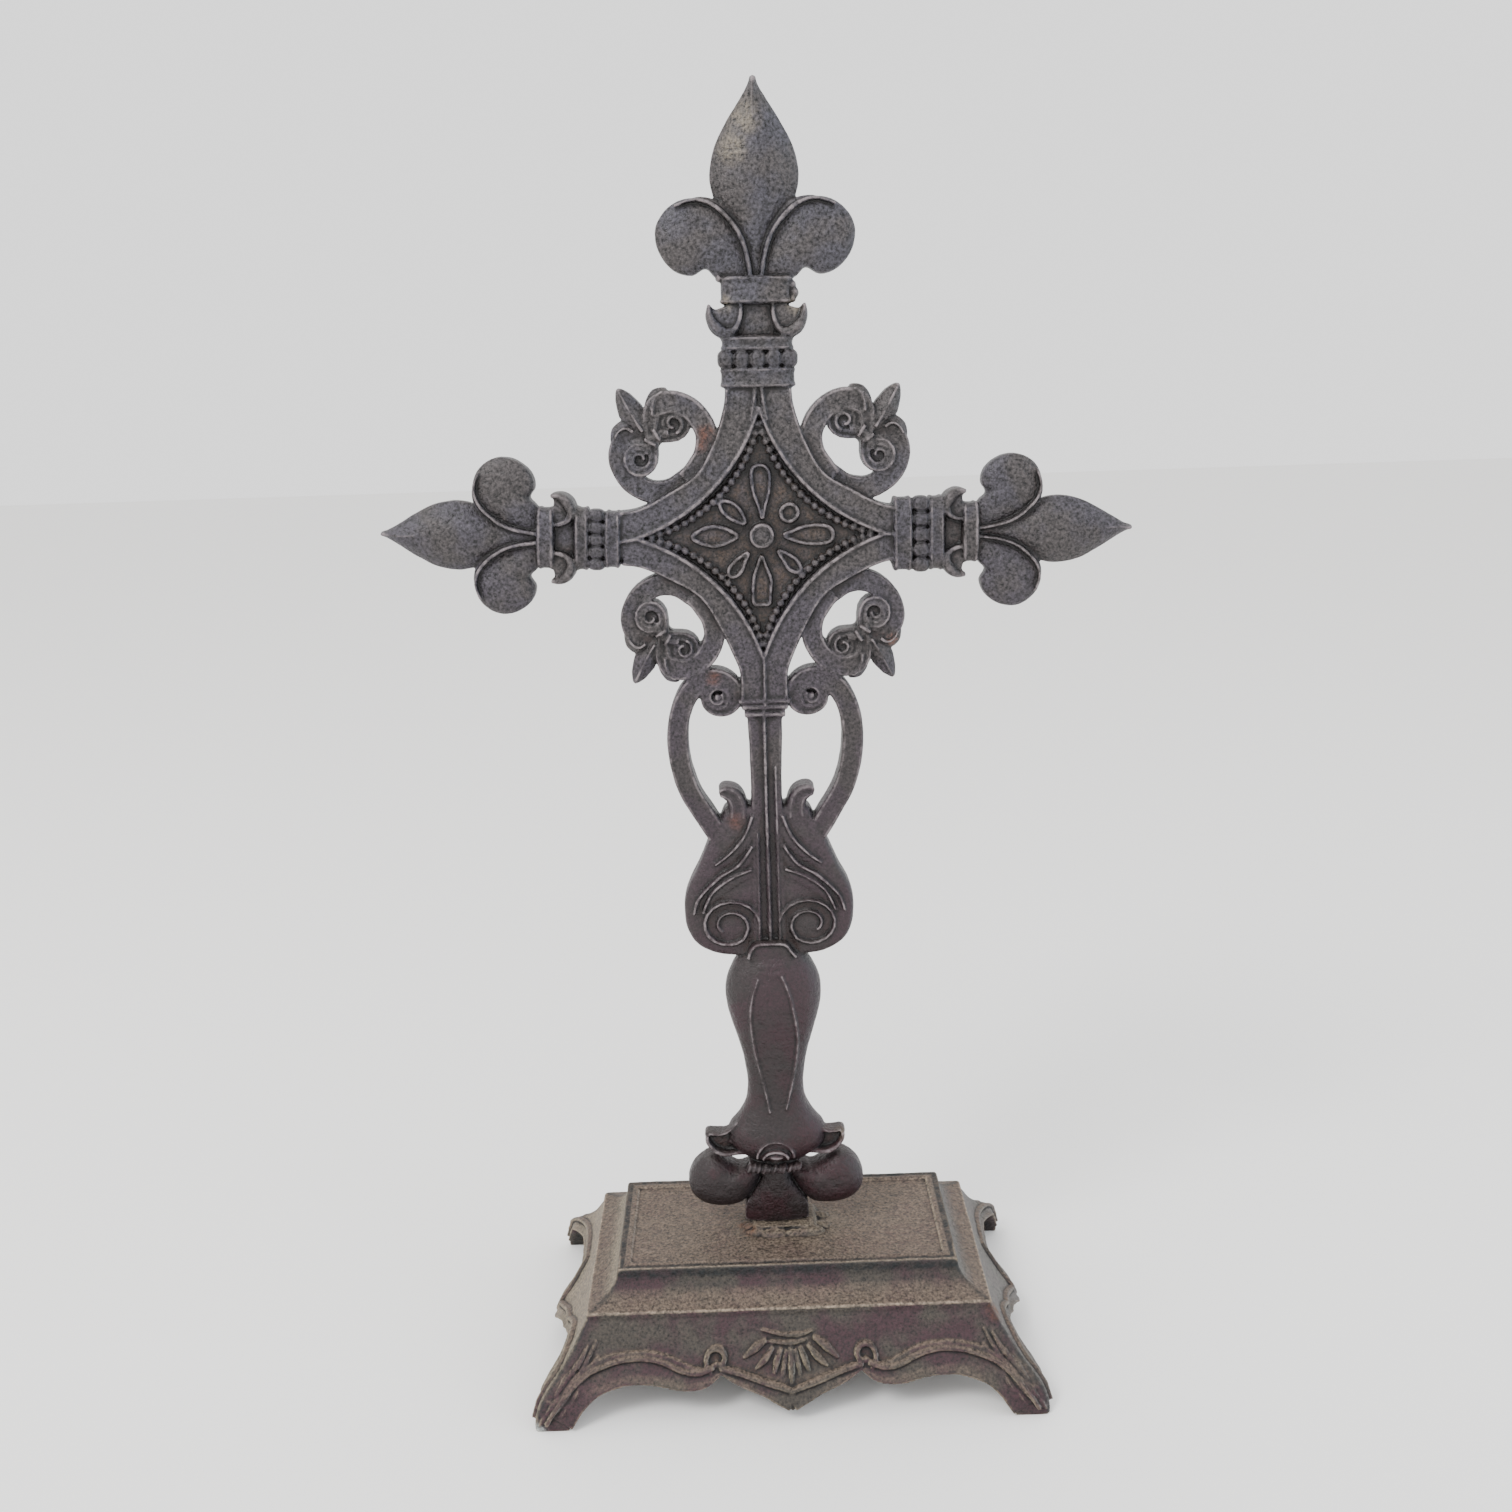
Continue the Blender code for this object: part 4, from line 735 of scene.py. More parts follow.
for k in range(-5, 6):
    x = 1.72 * k - 0.6 + 0.25 * sin(2.3 * k)
    lump = bead("strand", 0, 0, 0, (0.95 + 0.1 * sin(1.7 * k), 2.0, 1.75 + 0.2 * cos(2.9 * k)))
    lump = mapped(lump, lambda a, y, b: (a * 0.86 + b * 0.42, y, b * 0.9 - a * 0.34))
    shell_parts.append(put(lump, corners(lump) + (x, -8.2, 65.2 - 1.0 * cos(0.26 * k))))
    bead_spots.append((x, -10.0, 65.2 - 1.0 * cos(0.26 * k), 3.2))
rope_core = [(1.7 * k - 0.6, 65.2 - 1.0 * cos(0.26 * k)) for k in range(-5, 6)]
shell_parts.append(band("rope core", rope_core, [1.2] * 11, rounded(7.2, 0.6), -5.0))
print("strands:", 11)

# %% [markdown]
# ## The foot
# A fleur turned upside down carries everything: two heavy smooth lobes and a spreading middle petal,
# whose flat end stands on the seat of the base.

# %% Lobes and middle petal
FOOT_LOBE = ((4.4, 60.6), (6.6, 63.0), (9.4, 63.2), (12.4, 62.4), (15.4, 63.8), (18.6, 66.2), (22.4, 67.2),
             (26.6, 64.4), (29.1, 60.6), (30.0, 56.6), (28.8, 52.4), (25.0, 49.2), (19.0, 47.8),
             (12.6, 48.6), (8.2, 52.6))
lobe_right = cushion("foot lobe", smooth(FOOT_LOBE, 3, closed=True), (18.8, 56.6), 0.8, 6.6, -3.0, 0.2)
lobe_left = mapped(copied(lobe_right), lambda x, y, z: (-x, y, z))
SEAT_TOP = 42.2
MIDDLE = ((66.5, 4.2), (60.5, 4.6), (57.0, 5.6), (53.0, 8.0), (49.5, 10.2), (46.0, 10.8), (SEAT_TOP + 0.3, 10.8))


def foot_section(h):
    """Domed front with a soft keel."""
    return [(h * t, 4.6 + 2.7 * (1 - abs(t) ** 2.4)) for t in (-1, -0.95, -0.8, -0.5, -0.2, 0, 0.2, 0.5, 0.8, 0.95, 1)]


foot_petal = band("foot petal", [(0.0, z) for z, _ in smooth(MIDDLE, 4)], [h for _, h in smooth(MIDDLE, 4)],
                  foot_section, -5.6)
mapped(foot_petal, lambda x, y, z: (x, np.where(y < 0, y * np.interp(z, (42, 58), (0.7, 1.0)), y), z))
print("foot petal ends at", round(corners(foot_petal)[:, 2].min(), 2), "mm")

# %% [markdown]
# ## High and low places
# Iron wears bright where hands and weather reach it, and keeps rust where they don't; the low places
# are also painted darker as shade. Each corner of a skin is compared with the average of its neighbours,
# over a narrow and a wide reach, and the two heights are kept on the mesh as attributes that the finishes read.

# %% Relief kept on the mesh
def keep_relief(form, cell):
    """Writes how far each corner stands above its surroundings, narrow and wide."""
    mesh = form.data
    ends = np.empty(len(mesh.edges) * 2, dtype=int)
    mesh.edges.foreach_get("vertices", ends)
    ends = ends.reshape(-1, 2)
    both = np.concatenate((ends, ends[:, ::-1]))
    count = np.bincount(both[:, 0], minlength=len(mesh.vertices))[:, None]
    here = corners(form)
    normals = np.empty(len(mesh.vertices) * 3)
    mesh.vertices.foreach_get("normal", normals)
    normals = normals.reshape(-1, 3)
    moved = here.copy()
    for name, spread, reach in (("fine_relief", 0.61, 0.22), ("wide_relief", 8.1, 0.9)):
        for _ in range(max(1, round(spread / cell ** 2))):
            total = np.column_stack([np.bincount(both[:, 0], moved[both[:, 1], k], len(here)) for k in range(3)])
            moved = total / np.maximum(count, 1)
        height = np.einsum("ij,ij->i", here - moved, normals) / reach
        layer = mesh.attributes.new(name, "FLOAT", "POINT")
        layer.data.foreach_set("value", np.clip(0.5 + 0.5 * height, 0, 1).astype(np.float32))
        print(form.name, name, "spread", height.std().round(2))

# %% [markdown]
# ## One casting
# The real cross came out of the sand as one piece. The parts are joined, and a Remesh modifier in voxel
# mode draws one skin over them, which melts every overlap the way a casting does. A light smoothing
# rounds the skin, two cloud textures make it slightly uneven, and Decimate thins the flat stretches.

# %% A skin of cast iron over joined forms
TRIANGLES = 195000


def clouds(name, size):
    """A soft noise pattern of a given size in millimetres."""
    texture = bpy.data.textures.new(name, "CLOUDS")
    texture.noise_scale = size
    texture.noise_depth = 2
    return texture


def cast_in_one(name, forms, cell):
    """Joins forms under one skin."""
    whole = joined(name, forms)
    bpy.ops.object.mode_set(mode="EDIT")
    bpy.ops.mesh.select_all(action="SELECT")
    bpy.ops.mesh.normals_make_consistent(inside=False)
    rest()
    whole.select_set(True)
    bpy.context.view_layer.objects.active = whole
    skin = whole.modifiers.new("Skin", "REMESH")
    skin.mode = "VOXEL"
    cell *= 1.0
    skin.voxel_size = cell
    even = whole.modifiers.new("Even", "SMOOTH")
    even.factor, even.iterations = 0.5, 1
    for label, size, strength in (("sand grain", 1.3, 0.07), ("wavy skin", 7.0, 0.35)):
        uneven = whole.modifiers.new(label, "DISPLACE")
        uneven.texture = clouds(label, size)
        uneven.texture_coords = "LOCAL"
        uneven.mid_level, uneven.strength = 0.5, strength
    for modifier in list(whole.modifiers):
        bpy.ops.object.modifier_apply(modifier=modifier.name)
    keep_relief(whole, cell)
    count = sum(len(p.vertices) - 2 for p in whole.data.polygons)
    if count > TRIANGLES:
        thin = whole.modifiers.new("Thin", "DECIMATE")
        thin.ratio = TRIANGLES / count
        bpy.ops.object.modifier_apply(modifier=thin.name)
    print(name, "skin of", count, "triangles, kept", sum(len(p.vertices) - 2 for p in whole.data.polygons))
    return whole


cross = cast_in_one("iron_cross", star_parts + corner_scrolls + arms + stem_parts + [bow_right, bow_left]
                    + [leaf_right, leaf_left] + baluster_parts + [petal_right, petal_left] + shell_parts
                    + [lobe_right, lobe_left, foot_petal], 0.36)
x, y, z = corners(cross).T
middle = (37.5 ** 2 - 2 * 13.9 ** 2) / (2 * 37.5 - 4 * 13.9)
inside_star = np.hypot(np.abs(x) - middle, np.abs(z - CENTRE_Z) - middle) - hypot(middle, middle - 37.5)
floor_share = np.clip(inside_star / 0.8, 0, 1) * (np.abs(x) < 38) * (np.abs(z - CENTRE_Z) < 38) * (y < -2) * (y > -3.9)
layer = cross.data.attributes.new("field_floor", "FLOAT", "POINT")
layer.data.foreach_set("value", floor_share.astype(np.float32))
print("field corners:", int((floor_share > 0.5).sum()))

# %% [markdown]
# ## Leaning a little
# The cross doesn't stand quite upright on its base: it starts a little to the left and leans to the
# right as it rises, by less than three millimetres. That is how old cast work looks once it is bolted
# together. The skin is moved by one mapping, and the whole object is set with its width centred.

# %% The lean of the cross
PLACE_X = 2.44
LEAN_FOOT, LEAN_REACH, LEAN_BEND = -2.6, 364.0, 1.6


def leaning(x, y, z):
    """Shift and small turn that grow with height."""
    share = np.clip((z - SEAT_TOP) / LEAN_REACH, 0.0, None)
    turn = -LEAN_FOOT * LEAN_BEND / LEAN_REACH * share ** (LEAN_BEND - 1.0)
    return x + LEAN_FOOT * (1.0 - share ** LEAN_BEND) + PLACE_X, y, z - x * turn


mapped(cross, leaning)
print("cross from", corners(cross).min(0).round(1), "to", corners(cross).max(0).round(1))

# %% [markdown]
# ## The base
# The base is a hollow casting: a flat plate inside a raised rim, a cove, a narrow lip, and four aprons
# that spread into feet. It starts as a plane with bevelled corners, extruded and resized ring by ring up
# the measured profile. The inside and the scalloped edges are then cut out of it.

# %% The body of the base
RIM_X, RIM_Y, FIELD_Z = 53.2, 24.7, 39.9
FLARE = ((12.9, 28.6), (14.4, 26.0), (16.8, 21.8), (19.4, 18.2), (21.9, 14.8), (25.2, 11.3),
         (27.7, 7.6), (29.1, 3.2), (29.2, 0.0))
COVE = ((3.2, 38.0), (3.7, 36.4), (5.0, 34.4), (7.4, 32.6), (10.4, 31.3), (11.8, 30.9))
TOP = ((12.9, 30.3), (12.5, 30.9), (11.8, 30.9)) + tuple(smooth(COVE[::-1], 3))[1:] + (
    (3.1, 39.8), (2.9, 40.3), (2.5, 40.5), (1.8, 40.3), (0.9, 40.2), (0.4, 40.6), (0.0, 40.7), (-0.8, 40.7),
    (-1.2, 40.4), (-1.7, FIELD_Z))


def flare(z):
    """How far the aprons stand out from the rim rectangle at a height."""
    return np.interp(z, [p[1] for p in FLARE[::-1]], [p[0] for p in FLARE[::-1]])


def stepped(name, rings, corner=1.6):
    """A rectangle with broken corners, extruded and resized from ring to ring of offset and height."""
    rest()
    bpy.ops.mesh.primitive_plane_add(size=2)
    form = bpy.context.active_object
    form.name = name
    offset, z = rings[0]
    half_x, half_y = RIM_X + offset, RIM_Y + offset
    put(form, corners(form) * (half_x, half_y, 1) + (0, 0, z))
    bpy.ops.object.mode_set(mode="EDIT")
    bpy.ops.mesh.select_all(action="SELECT")
    bpy.ops.mesh.bevel(affect="VERTICES", offset=corner, segments=3)
    bpy.ops.mesh.select_all(action="SELECT")
    for offset, height in rings[1:]:
        scale = ((RIM_X + offset) / half_x, (RIM_Y + offset) / half_y, 1)
        pull((0, 0, height - z), scale, (0, 0, height))
        half_x, half_y, z = RIM_X + offset, RIM_Y + offset, height
    return closed(form)


WALL = 3.0
base_body = stepped("base", smooth(FLARE[::-1], 3) + list(TOP))
inside = [(FLARE[-1][0] - WALL, -2.0)]
inside += [(o - WALL * (1.0 + 0.35 * (5 < z < 22)), z) for o, z in smooth(FLARE[::-1], 2)]
inside += [(7.8, 29.0), (3.6, 31.2), (0.6, 33.4), (0.0, 36.7)]
cut_out(base_body, stepped("inside", inside))
print("base body:", len(base_body.data.polygons), "faces")

# %% The scalloped edges
FRONT_EDGE = (((71.5, 0.0), (69.6, 4.2), (65.1, 10.0), (58.9, 13.5), (49.3, 14.6), (39.9, 13.2), (32.1, 11.7),
               (26.1, 12.3), (22.2, 14.3)), ((22.2, 14.3), (17.3, 11.9), (8.0, 8.6), (3.1, 6.0), (0.0, 4.3)))
SIDE_EDGE = (((44.6, 0.0), (43.0, 4.6), (39.8, 9.8), (35.6, 14.0), (28.2, 17.0), (23.6, 15.6), (19.4, 13.6)),
             ((19.4, 13.6), (13.6, 12.2), (8.0, 9.6), (3.4, 6.9), (0.0, 5.6)))
BACK_SIDE_EDGE = (((51.6, 0.0), (50.4, 3.6), (47.0, 8.2), (41.0, 12.4), (33.0, 15.6), (24.5, 17.4), (10.0, 18.4)),
                  ((10.0, 18.4), (8.4, 15.6), (6.6, 12.8), (3.8, 9.6), (0.0, 5.6)))
FAR = 100.0


def scallop(edge, steps):
    """Half of a scalloped edge, from the foot to the pendant point."""
    return smooth(edge[0], steps)[:-1] + smooth(edge[1], steps)


for right_edge, left_edge, turn in ((FRONT_EDGE, FRONT_EDGE, False), (BACK_SIDE_EDGE, SIDE_EDGE, True)):
    right, left = ([(edge[0][0][0] + 0.6, -3.0)] + scallop(edge, 5) for edge in (right_edge, left_edge))
    prism = plate("scallop", right + [(-x, z) for x, z in reversed(left[:-1])], FAR, -FAR)
    if turn:
        mapped(prism, lambda x, y, z: (y, x, z))
    cut_out(base_body, prism)
print("scallops cut:", len(base_body.data.polygons), "faces")

# %% [markdown]
# ## Ornament on the aprons
# A raised strip follows each scalloped edge, with a fine line along its top. The front carries a shell
# of rays under a double brow, two small C-curls, and an acanthus leaf on each leg. All of it is drawn
# flat, as bands, and then laid onto the curved apron by a mapping.

# %% Strips, shell and curls
def on_front(form, sign=-1):
    """Lays flat ornament on the front or back apron."""
    return mapped(form, lambda x, y, z: (x, sign * (RIM_Y + flare(z) - y), z))


def on_side(form, sign):
    """Lays flat ornament on a side apron."""
    return mapped(form, lambda x, y, z: (sign * (RIM_X + flare(z) - y), x, z))


FRONT_TOP_LINE = ((78.6, 3.0), (75.6, 7.4), (71.2, 12.0), (66.0, 15.4), (61.0, 17.2), (55.0, 18.6), (48.0, 19.0),
                  (41.6, 17.9), (35.0, 15.6), (30.0, 15.0), (25.0, 16.2))
DROP_LINE = ((23.0, 16.0), (18.0, 14.9), (14.0, 13.9), (8.0, 12.3), (3.6, 11.2), (0.0, 10.2))
SIDE_TOP_LINE = ((50.4, 3.0), (48.0, 7.6), (43.6, 13.4), (37.6, 18.0), (29.0, 20.6), (23.2, 19.2), (18.2, 16.6))
SIDE_DROP_LINE = ((18.2, 16.6), (12.6, 15.6), (6.0, 13.0), (0.0, 10.4))
BACK_SIDE_TOP_LINE = ((53.6, 3.0), (52.0, 7.0), (48.0, 12.0), (41.6, 16.2), (33.0, 19.2), (24.0, 21.0), (9.0, 22.0))
BACK_SIDE_DROP_LINE = ((9.0, 22.0), (6.4, 18.4), (3.6, 14.4), (0.0, 10.4))


def strip(lower, upper, lift):
    """A raised strip between two lines, with a fine rib along the upper one."""
    steps = 60
    pair = []
    for line in (lower, upper):
        line = np.array(line)
        run = np.concatenate(([0], np.cumsum(np.hypot(*np.diff(line, axis=0).T))))
        at = np.linspace(0, run[-1], steps)
        pair.append(np.column_stack((np.interp(at, run, line[:, 0]), np.interp(at, run, line[:, 1]))))
    middle = (pair[0] + pair[1]) / 2
    halves = np.hypot(*(pair[1] - pair[0]).T) / 2
    body = band("strip", [tuple(p) for p in middle], list(halves), rolled(lift, 0.5), -1.6)
    line = [tuple(p) for p in pair[1]]
    return [body, band("strip line", line, [0.7] * steps, rounded(lift, 1.3), -1.0)]


base_parts = [base_body]
for sign in (-1, 1):
    for side in (1, -1):
        flat = [strip(smooth(FRONT_EDGE[0][1:], 5), smooth(FRONT_TOP_LINE, 5), 1.0),
                strip(smooth(FRONT_EDGE[1], 5), smooth(DROP_LINE, 5), 1.0)]
        for form in flat[0] + flat[1]:
            base_parts.append(on_front(mapped(form, lambda x, y, z: (side * x, y, z)), sign))
        edge, top, drop = ((BACK_SIDE_EDGE, BACK_SIDE_TOP_LINE, BACK_SIDE_DROP_LINE) if side > 0
                           else (SIDE_EDGE, SIDE_TOP_LINE, SIDE_DROP_LINE))
        flat = [strip(smooth(edge[0][1:], 5), smooth(top, 5), 0.6), strip(smooth(edge[1], 5), smooth(drop, 5), 0.6)]
        for form in flat[0] + flat[1]:
            base_parts.append(on_side(mapped(form, lambda x, y, z: (side * x, y, z)), sign))
SHELL = (
    (((0.0, 20.2), (0.1, 16.0), (0.0, 11.9)), 1.1), (((3.0, 20.2), (4.4, 17.4), (5.7, 14.2)), 1.0),
    (((-3.0, 20.0), (-4.4, 17.4), (-5.6, 14.0)), 1.0), (((5.6, 20.8), (8.2, 18.0), (11.8, 15.4)), 1.0),
    (((-5.8, 20.4), (-8.0, 17.8), (-11.4, 15.2)), 0.9), (((1.4, 19.6), (2.2, 16.6), (2.8, 13.4)), 0.7),
    (((-1.4, 19.6), (-2.2, 16.6), (-2.9, 13.2)), 0.7), (((7.4, 22.8), (11.0, 20.6), (15.2, 17.4)), 1.2),
    (((-7.8, 22.2), (-11.0, 20.6), (-15.2, 18.0)), 1.1), (((-9.2, 25.0), (-3.0, 23.6), (3.4, 23.4), (7.6, 24.4)), 0.7),
    (((-7.0, 21.8), (0.0, 21.3), (5.4, 22.0)), 0.7))
for line, half in SHELL:
    path = smooth(line, 5)
    halves = levels(((0, 0.5 * half), (0.55, half), (1, 0.35 * half)), len(path))
    base_parts.append(on_front(band("ray", path, halves, rounded(0.3, 1.25), -1.6)))
for side in (1, -1):
    curl = [(side * (23.6 + r * cos(radians(a))), 17.9 + 0.9 * r * sin(radians(a)))
            for a, r in zip(range(-60, 330, 20), np.linspace(4.2, 1.0, 20))]
    base_parts.append(on_front(band("curl", curl, levels(((0, 0.5), (0.5, 0.9), (1, 0.6)), len(curl)),
                                    rounded(0.5, 1.3), -1.6)))
print("ornament forms:", len(base_parts))

# %% [markdown]
# ## Leaves on the legs
# Each leg is cut as an acanthus leaf: a main vein from the root under the lip down to the toe, short
# lobes to both sides of it, and a hollow between every two. The back legs carry the same leaf, and the
# sides stay plain between their strips.

# %% Acanthus on four legs
LEG_VEINS = (
    (((62.6, 23.6), (65.6, 18.8), (69.0, 14.2), (72.6, 9.6), (76.0, 6.0), (79.4, 3.0)), 0.8),
    (((65.4, 22.4), (67.8, 18.6), (70.0, 16.4), (73.4, 12.6)), 0.9),
    (((62.2, 19.6), (64.6, 16.9), (67.6, 13.6)), 0.8), (((69.8, 17.0), (73.0, 13.8), (75.8, 10.6)), 0.9),
    (((67.2, 13.6), (69.2, 10.6), (71.4, 7.6)), 0.8), (((74.2, 11.0), (76.6, 8.4), (78.6, 6.0)), 0.8),
    (((71.6, 8.6), (73.2, 6.2), (75.0, 4.0)), 0.7), (((77.4, 7.0), (79.6, 4.4), (81.0, 2.2)), 0.6))
for sign in (-1, 1):
    for side in (1, -1):
        for line, half in LEG_VEINS:
            path = smooth([(side * x, z) for x, z in line], 4)
            halves = levels(((0, 0.3), (0.5, half), (1, 0.3)), len(path))
            base_parts.append(on_front(band("vein", path, halves, rounded(0.2, 1.3), -1.6), sign))
print("leg veins:", 4 * len(LEG_VEINS))

# %% [markdown]
# ## The seat
# The foot of the cross stands in a rough bed on the plate, a low heap that was never dressed. It is
# a block with uneven lumps along its front.

# %% A rough bed on the plate
seat = stepped("seat", ((11.8 - RIM_X, 39.0), (10.9 - RIM_X, 41.2), (9.6 - RIM_X, SEAT_TOP)), 3.0)
base_parts.append(mapped(seat, lambda x, y, z: (x, np.where(y < 0, -7.8, 7.6) * np.abs(y) / np.abs(y).max(), z)))
LUMPS = ((-9.2, -7.4, 2.6), (-3.8, -8.4, 3.4), (3.0, -8.7, 2.4), (7.8, -7.6, 3.9), (12.2, -4.4, 2.6),
         (-11.2, -3.6, 2.2), (11.9, 2.0, 2.4), (-11.4, 2.8, 1.8))
for x, y, size in LUMPS:
    base_parts.append(bead("lump", x, y, 39.6, (size * 1.5, size * 0.8, 1.0 + 0.3 * size)))
FOOT_SIDE = ((73.5, 0.0), (81.4, 0.0), (80.6, 4.6), (78.6, 9.4), (74.6, 9.4))
for side in (1, -1):
    base_parts.append(plate("foot", [(side * x, z) for x, z in FOOT_SIDE], 52.0, 45.6, 0.6))
base = cast_in_one("iron_base", base_parts, 0.36)


def knees(x, y, z):
    """Pushes the two back feet out to the square knees they have on the real base."""
    share = np.clip((y - 33) / 9, 0, 1) * np.clip((np.abs(x) - 60) / 9, 0, 1)
    bulge = 2.2 * share * np.exp(-((z - 13.5) / 4.2) ** 2)
    return x + np.sign(x) * bulge, y + bulge, z


mapped(base, knees)
mapped(base, lambda x, y, z: (x + PLACE_X, y, z))
print("base from", corners(base).min(0).round(1), "to", corners(base).max(0).round(1))

# %% [markdown]
# ## Places that are stained, and painted highlight lines
# Some stains follow the form and not the weather: the moulding around the plate and the corner edges
# have gone blue-black, the bed is pale, one toe is chipped to bare metal, and rust has bled out in a few
# spots. Thin painted highlights run along the rim's crest, its inner edge and the lip. Each place is
# worked out from the corners' positions and kept on the mesh as an attribute.

# %% Stains kept on the mesh
def near(form, spots):
    """One near any of the spots, falling to nothing at each spot's reach."""
    here = corners(form)
    amount = np.zeros(len(here))
    for x, y, z, reach in spots:
        far = np.linalg.norm(here - (x, y, z), axis=1) / reach
        amount = np.maximum(amount, np.clip(1.5 * (1 - far), 0, 1))
    return amount


def keep(form, name, amount):
    """Writes one value for each corner of a form."""
    layer = form.data.attributes.new(name, "FLOAT", "POINT")
    layer.data.foreach_set("value", np.clip(amount, 0, 1).astype(np.float32))
    print(form.name, name, "covers", round(float(np.mean(amount)) * 100, 1), "% of the corners")


x, y, z = corners(base).T
out_x, out_y = np.abs(x - PLACE_X) - RIM_X, np.abs(y) - RIM_Y
out = np.maximum(out_x, out_y)
border = np.clip((out - 0.5) / 0.6, 0, 1) * np.clip((z - 36.6) / 1.2, 0, 1)
corner_edge = np.clip(1.7 - np.abs(out_x - out_y) / 1.1, 0, 1) * (out > 1.0)
keep(base, "blue_black", np.maximum(border, 0.8 * corner_edge))
# Painted highlights: thin bright lines along the rim's crest on the front, along its inner edge and along the lip.
lines = [np.exp(-((out - place) / width) ** 2) * (z > low) for place, width, low in
         ((2.5, 0.32, 39.4), (-1.3, 0.3, 39.4), (12.6, 0.4, 30.2))]
lines[0] *= (y < -20)
keep(base, "painted_highlight_line", lines[0] + 0.7 * lines[1] + lines[2])
keep(base, "pale_bed", np.clip(1.6 - np.hypot((x - PLACE_X - 2) / 15, (y + 3) / 8.5), 0, 1) * (z > 39.2))
keep(base, "rust_bleed", near(base, ((-9.6, -7.0, 40.4, 3.4), (-11.5, -3.0, 40.4, 3.0), (70.0, -36.0, 27.0, 5.0))))
keep(base, "bare_chip", near(base, ((-79.2, -53.4, 0.2, 3.4),)))
x, y, z = corners(cross).T
keep(cross, "rust_bleed", near(cross, ((-14.5, -4.0, 307.5, 3.6), (-16.0, -4.0, 304.0, 2.6), (-15.0, -4.0, 233.0, 3.0),
                                       (41.5, -3.5, 243.0, 3.0), (-9.5, -6.0, 186.0, 4.0), (17.0, -7.0, 118.0, 3.4))))
keep(cross, "unrubbed", near(cross, [(x + PLACE_X + LEAN_FOOT * (1 - ((z - SEAT_TOP) / LEAN_REACH) ** LEAN_BEND), y, z, reach)
                                     for x, y, z, reach in bead_spots]))
keep(cross, "pale_bloom", near(cross, ((-1.0, -4.0, 396.0, 7.0), (-4.0, -4.0, 388.0, 6.0), (40.0, -3.5, 324.0, 5.0), (13.0, -4.0, 344.0, 3.4), (-8.0, -4.5, 345.0, 3.4),
                                       (23.5, -5.0, 75.5, 4.0))))

# %% From millimetres to metres
for casting in (cross, base):
    rest()
    casting.select_set(True)
    bpy.context.view_layer.objects.active = casting
    casting.scale = (MM, MM, MM)
    bpy.ops.object.transform_apply(location=True, rotation=True, scale=True)
    bpy.ops.object.shade_smooth()

# %% [markdown]
# ## Finishes
# Both castings have the same dark, dry iron skin. What differs is what lies on it: the cross is handled
# and rubbed, with red-brown rust in its recesses, and the base is under a coat of grey-brown dust.
# A small helper adds a node with its settings and links, so that a finish reads from top to bottom.

# %% Colours and nodes
def colour(code):
    """A sRGB hex value as linear red, green and blue."""
    parts = [int(code[i:i + 2], 16) / 255 for i in (0, 2, 4)]
    return [c / 12.92 if c <= 0.04045 else ((c + 0.055) / 1.055) ** 2.4 for c in parts] + [1.0]


def node(tree, kind, links=(), **settings):
    """Adds a node; links are pairs of an input and an output that feeds it."""
    made = tree.nodes.new(kind)
    for key, value in settings.items():
        if key.startswith("in_"):
            made.inputs[int(key[3:])].default_value = value
        else:
            setattr(made, key, value)
    for target, source in links:
        tree.links.new(source, made.inputs[target])
    return made


def ramp(tree, source, low, high, start=0.0, end=1.0):
    """Maps a value from low..high to start..end with soft ends."""
    made = node(tree, "ShaderNodeMapRange", [("Value", source)], interpolation_type="SMOOTHSTEP")
    for key, value in zip(("From Min", "From Max", "To Min", "To Max"), (low, high, start, end)):
        made.inputs[key].default_value = value
    return made.outputs["Result"]


def mix(tree, share, first, second):
    """Mixes two colours, each given as a hex value or as an output."""
    made = node(tree, "ShaderNodeMix", data_type="RGBA")
    for slot, value in ((0, share), (6, first), (7, second)):
        if isinstance(value, str):
            made.inputs[slot].default_value = colour(value)
        elif isinstance(value, float):
            made.inputs[slot].default_value = value
        else:
            tree.links.new(value, made.inputs[slot])
    return made.outputs[2]


def maths(tree, operation, first, second):
    """One sum of two values."""
    made = node(tree, "ShaderNodeMath", operation=operation)
    for slot, value in enumerate((first, second)):
        if isinstance(value, (int, float)):
            made.inputs[slot].default_value = value
        else:
            tree.links.new(value, made.inputs[slot])
    return made.outputs[0]


def grain(tree, place, millimetres, detail=3.0, rough=0.55):
    """Noise whose patches are a given size in millimetres."""
    made = node(tree, "ShaderNodeTexNoise", [("Vector", place)])
    made.inputs["Scale"].default_value = 1000 / millimetres
    made.inputs["Detail"].default_value = detail
    made.inputs["Roughness"].default_value = rough
    return made.outputs["Fac"]


# %% Iron with wear, rust and dust
def kept(tree, name):
    """A value kept on the mesh."""
    return node(tree, "ShaderNodeAttribute", attribute_name=name).outputs["Fac"]


def multiplied(tree, tone, amount):
    """A colour made darker or lighter by a value."""
    made = node(tree, "ShaderNodeMix", [(6, tone), (7, amount)], data_type="RGBA", blend_type="MULTIPLY")
    made.inputs[0].default_value = 1.0
    return made.outputs[2]


